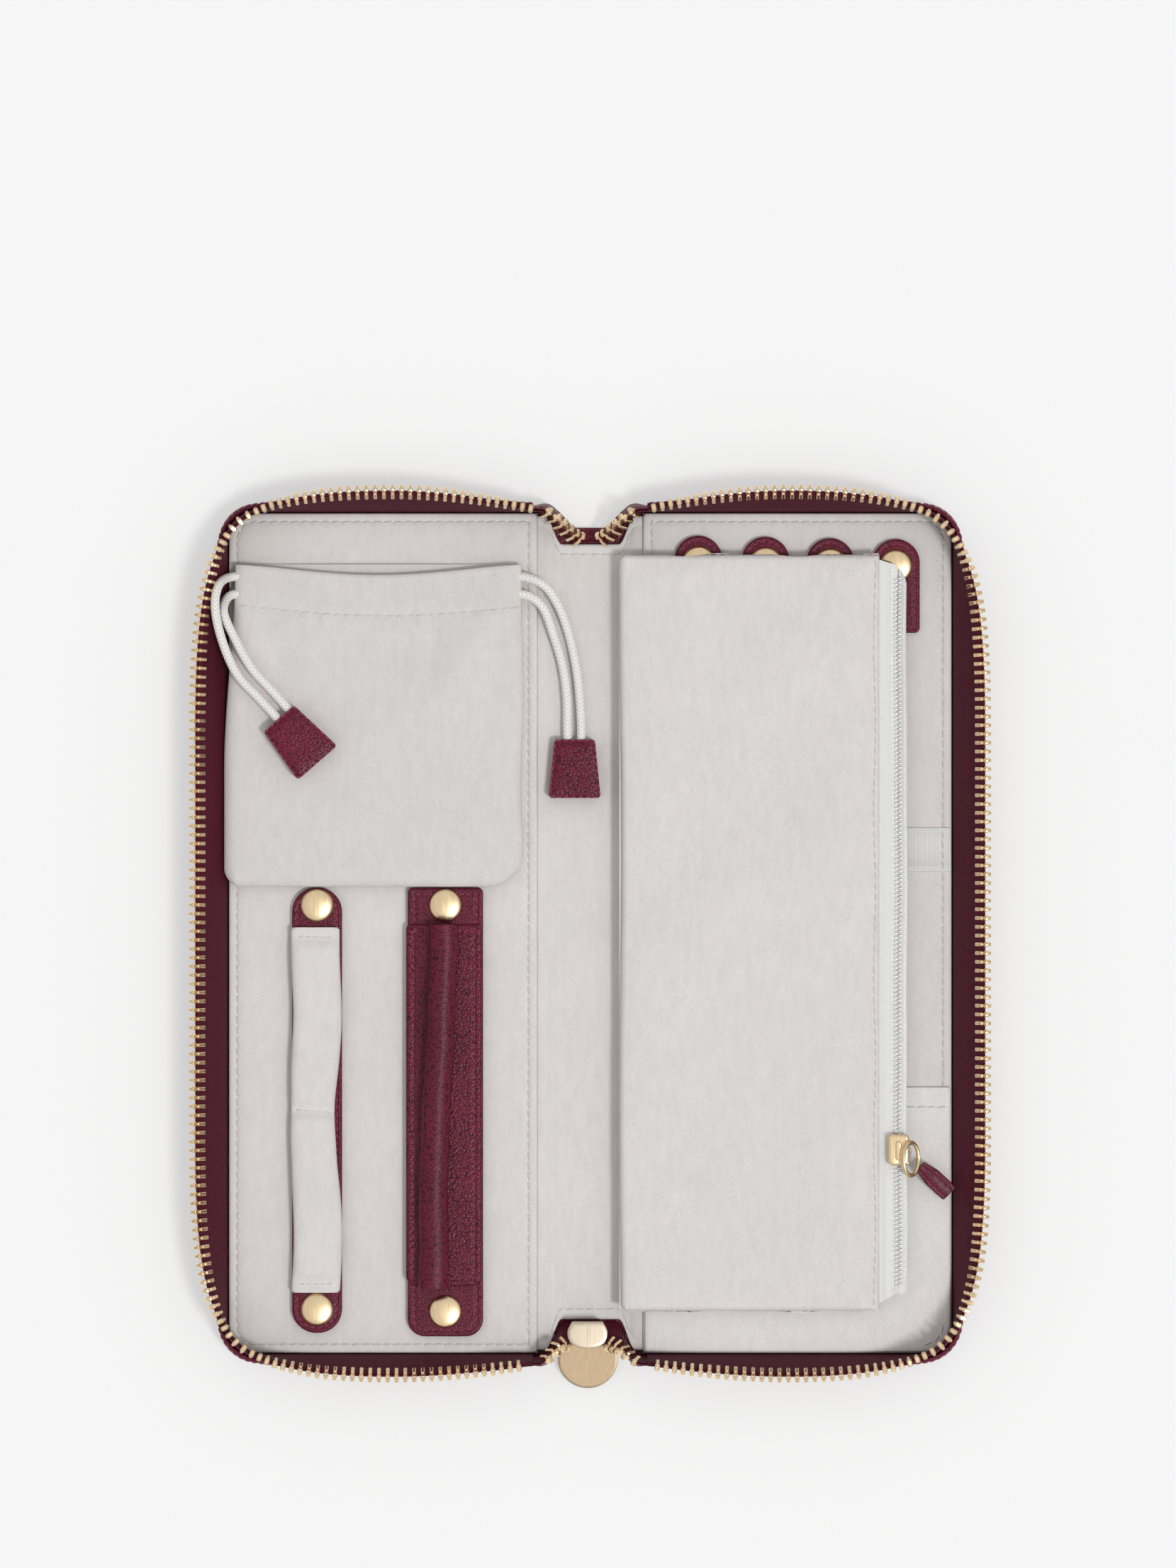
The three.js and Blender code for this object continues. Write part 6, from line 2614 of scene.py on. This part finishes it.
        bm = sealed(surface(40, 44, place), 1e-3)
        made = piece("page_pull_leather_strap", bm, SMOOTH, "page_pull", ["page_pull_leather"], 70)
        crumple = {"axis": (0.94, 0, -0.33), "anchor": tuple(start * MM), "keep": 0.35}
        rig.squash(made, "right_fold", **crumple)
        rows = []
        for offset in (-1.7, 1.7):
            line = start + across * offset + up * 0.92
            rows.append(Run(line + along * distance for distance in (3.5, 6.0, 8.5, length - 1.2)))
        thread = LEATHER_SEAM.sew("page_pull_stitching", rows, "page_pull")
        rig.squash(thread, "right_fold", **crumple)


# Studio


@dataclass
class Studio:
    """A pale floor, soft light from the lower right and a camera straight above."""

    scale: float = 0.2065
    photo: tuple[int, int] = (1659, 2212)
    origin: tuple[float, float] = (832.6, 1316.0)
    distance: float = 3000.0
    sensor: float = 36.0
    clip: float = 20.0
    paper: Colour = (0.9, 0.9, 0.9)
    floor_half: float = 6.0
    floor_drop: float = 0.0002
    glow: float = 0.5
    lamp_energy: float = 1.3
    lamp_angle: float = 10.0
    lamp_from: Spot = (0.38, -0.26, 1.0)
    horizon: float = 0.35
    zenith: float = 0.74
    zenith_from: float = 0.75

    def build(self) -> None:
        """Builds the camera, the floor and the light."""
        self.camera()
        self.floor()
        self.light()

    def camera(self) -> None:
        """The camera, high above the middle of the photograph's frame."""
        data = bpy.data.cameras.new("camera")
        data.sensor_width = self.sensor
        data.lens = self.sensor * self.distance / (self.photo[1] * self.scale)
        data.clip_end = self.clip
        made = put("camera", data)
        x = (self.photo[0] / 2 - self.origin[0]) * self.scale
        y = (self.origin[1] - self.photo[1] / 2) * self.scale
        made.location = (x * MM, y * MM, self.distance * MM)
        bpy.context.scene.camera = made

    def floor(self) -> None:
        """A wide pale floor just under the roll. Part of its tone is its own glow to the camera's rays."""
        bm = bmesh.new()
        bmesh.ops.create_grid(bm, x_segments=1, y_segments=1, size=self.floor_half)
        mesh = bpy.data.meshes.new("floor")
        bm.to_mesh(mesh)
        bm.free()
        nodes = Nodes(bpy.data.materials.new("studio floor"))
        nodes.shine(Emission_Color=(*self.paper, 1), Roughness=0.9, Specular_IOR_Level=0.1)
        seen = nodes.add("ShaderNodeLightPath").outputs["Is Camera Ray"]
        nodes.link(nodes.sums("MULTIPLY", seen, self.glow), nodes.shader.inputs["Emission Strength"])
        lit = nodes.sums("MULTIPLY_ADD", seen, -self.glow, 1.0)
        tint = nodes.ramp(lit, [(0.0, (0.0, 0.0, 0.0)), (1.0, self.paper)])
        nodes.link(tint, nodes.shader.inputs["Base Color"])
        mesh.materials.append(nodes.owner)
        made = put("floor", mesh)
        made.location.z = -self.floor_drop
        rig.stage(made)

    def light(self) -> None:
        """A broad lamp from the lower right and a pale surround that is darker near the horizon."""
        sun = bpy.data.lights.new("window light", "SUN")
        sun.energy = self.lamp_energy
        sun.angle = math.radians(self.lamp_angle)
        made = put("window light", sun)
        made.rotation_euler = Vector(self.lamp_from).normalized().to_track_quat("Z", "Y").to_euler()
        world = bpy.data.worlds.new("surround")
        bpy.context.scene.world = world
        nodes = Nodes(world, "Background")
        split = nodes.add("ShaderNodeSeparateXYZ")
        nodes.link(nodes.add("ShaderNodeTexCoord").outputs["Generated"], split.inputs[0])
        stops = [(0.0, (self.horizon,) * 3), (self.zenith_from, (self.zenith,) * 3)]
        seen = nodes.add("ShaderNodeMix", data_type="RGBA")
        nodes.link(nodes.ramp(split.outputs["Z"], stops), seen.inputs["A"])
        seen.inputs["B"].default_value = (*self.paper, 1)
        nodes.link(nodes.add("ShaderNodeLightPath").outputs["Is Camera Ray"], seen.inputs["Factor"])
        nodes.link(seen.outputs["Result"], nodes.shader.inputs["Color"])


def dress_kept_nodes(frame: dict) -> None:
    """Gives the frame's own shapes that stay their finishes.
    """
    for name in ("left_board", "right_board"):
        node = frame["nodes"][name]
        node.data.materials.clear()
        node.data.materials.append(BOARD.material())


def main() -> None:
    """Builds the dressed roll."""
    logging.basicConfig(level=logging.INFO, format="%(message)s")
    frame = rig.load()
    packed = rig.bounds()
    bpy.context.scene.view_settings.view_transform = "Standard"
    Studio().build()
    DrawCords().build()
    DrawstringPouch().build()
    ZipPouchPage().build()
    for side in Side:
        CaseHalf(side).build()
    Spine().build()
    RingBar().build()
    EarringBar().build()
    NecklaceTabs().build()
    FlatHolders().build()
    dress_kept_nodes(frame)
    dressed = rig.bounds()
    sizes = {"packed": [list(corner) for corner in packed], "dressed": [list(corner) for corner in dressed]}
    with open("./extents.json", "w", encoding="utf-8") as file:
        json.dump(sizes, file, indent=1)


if __name__ == "__main__":
    main()
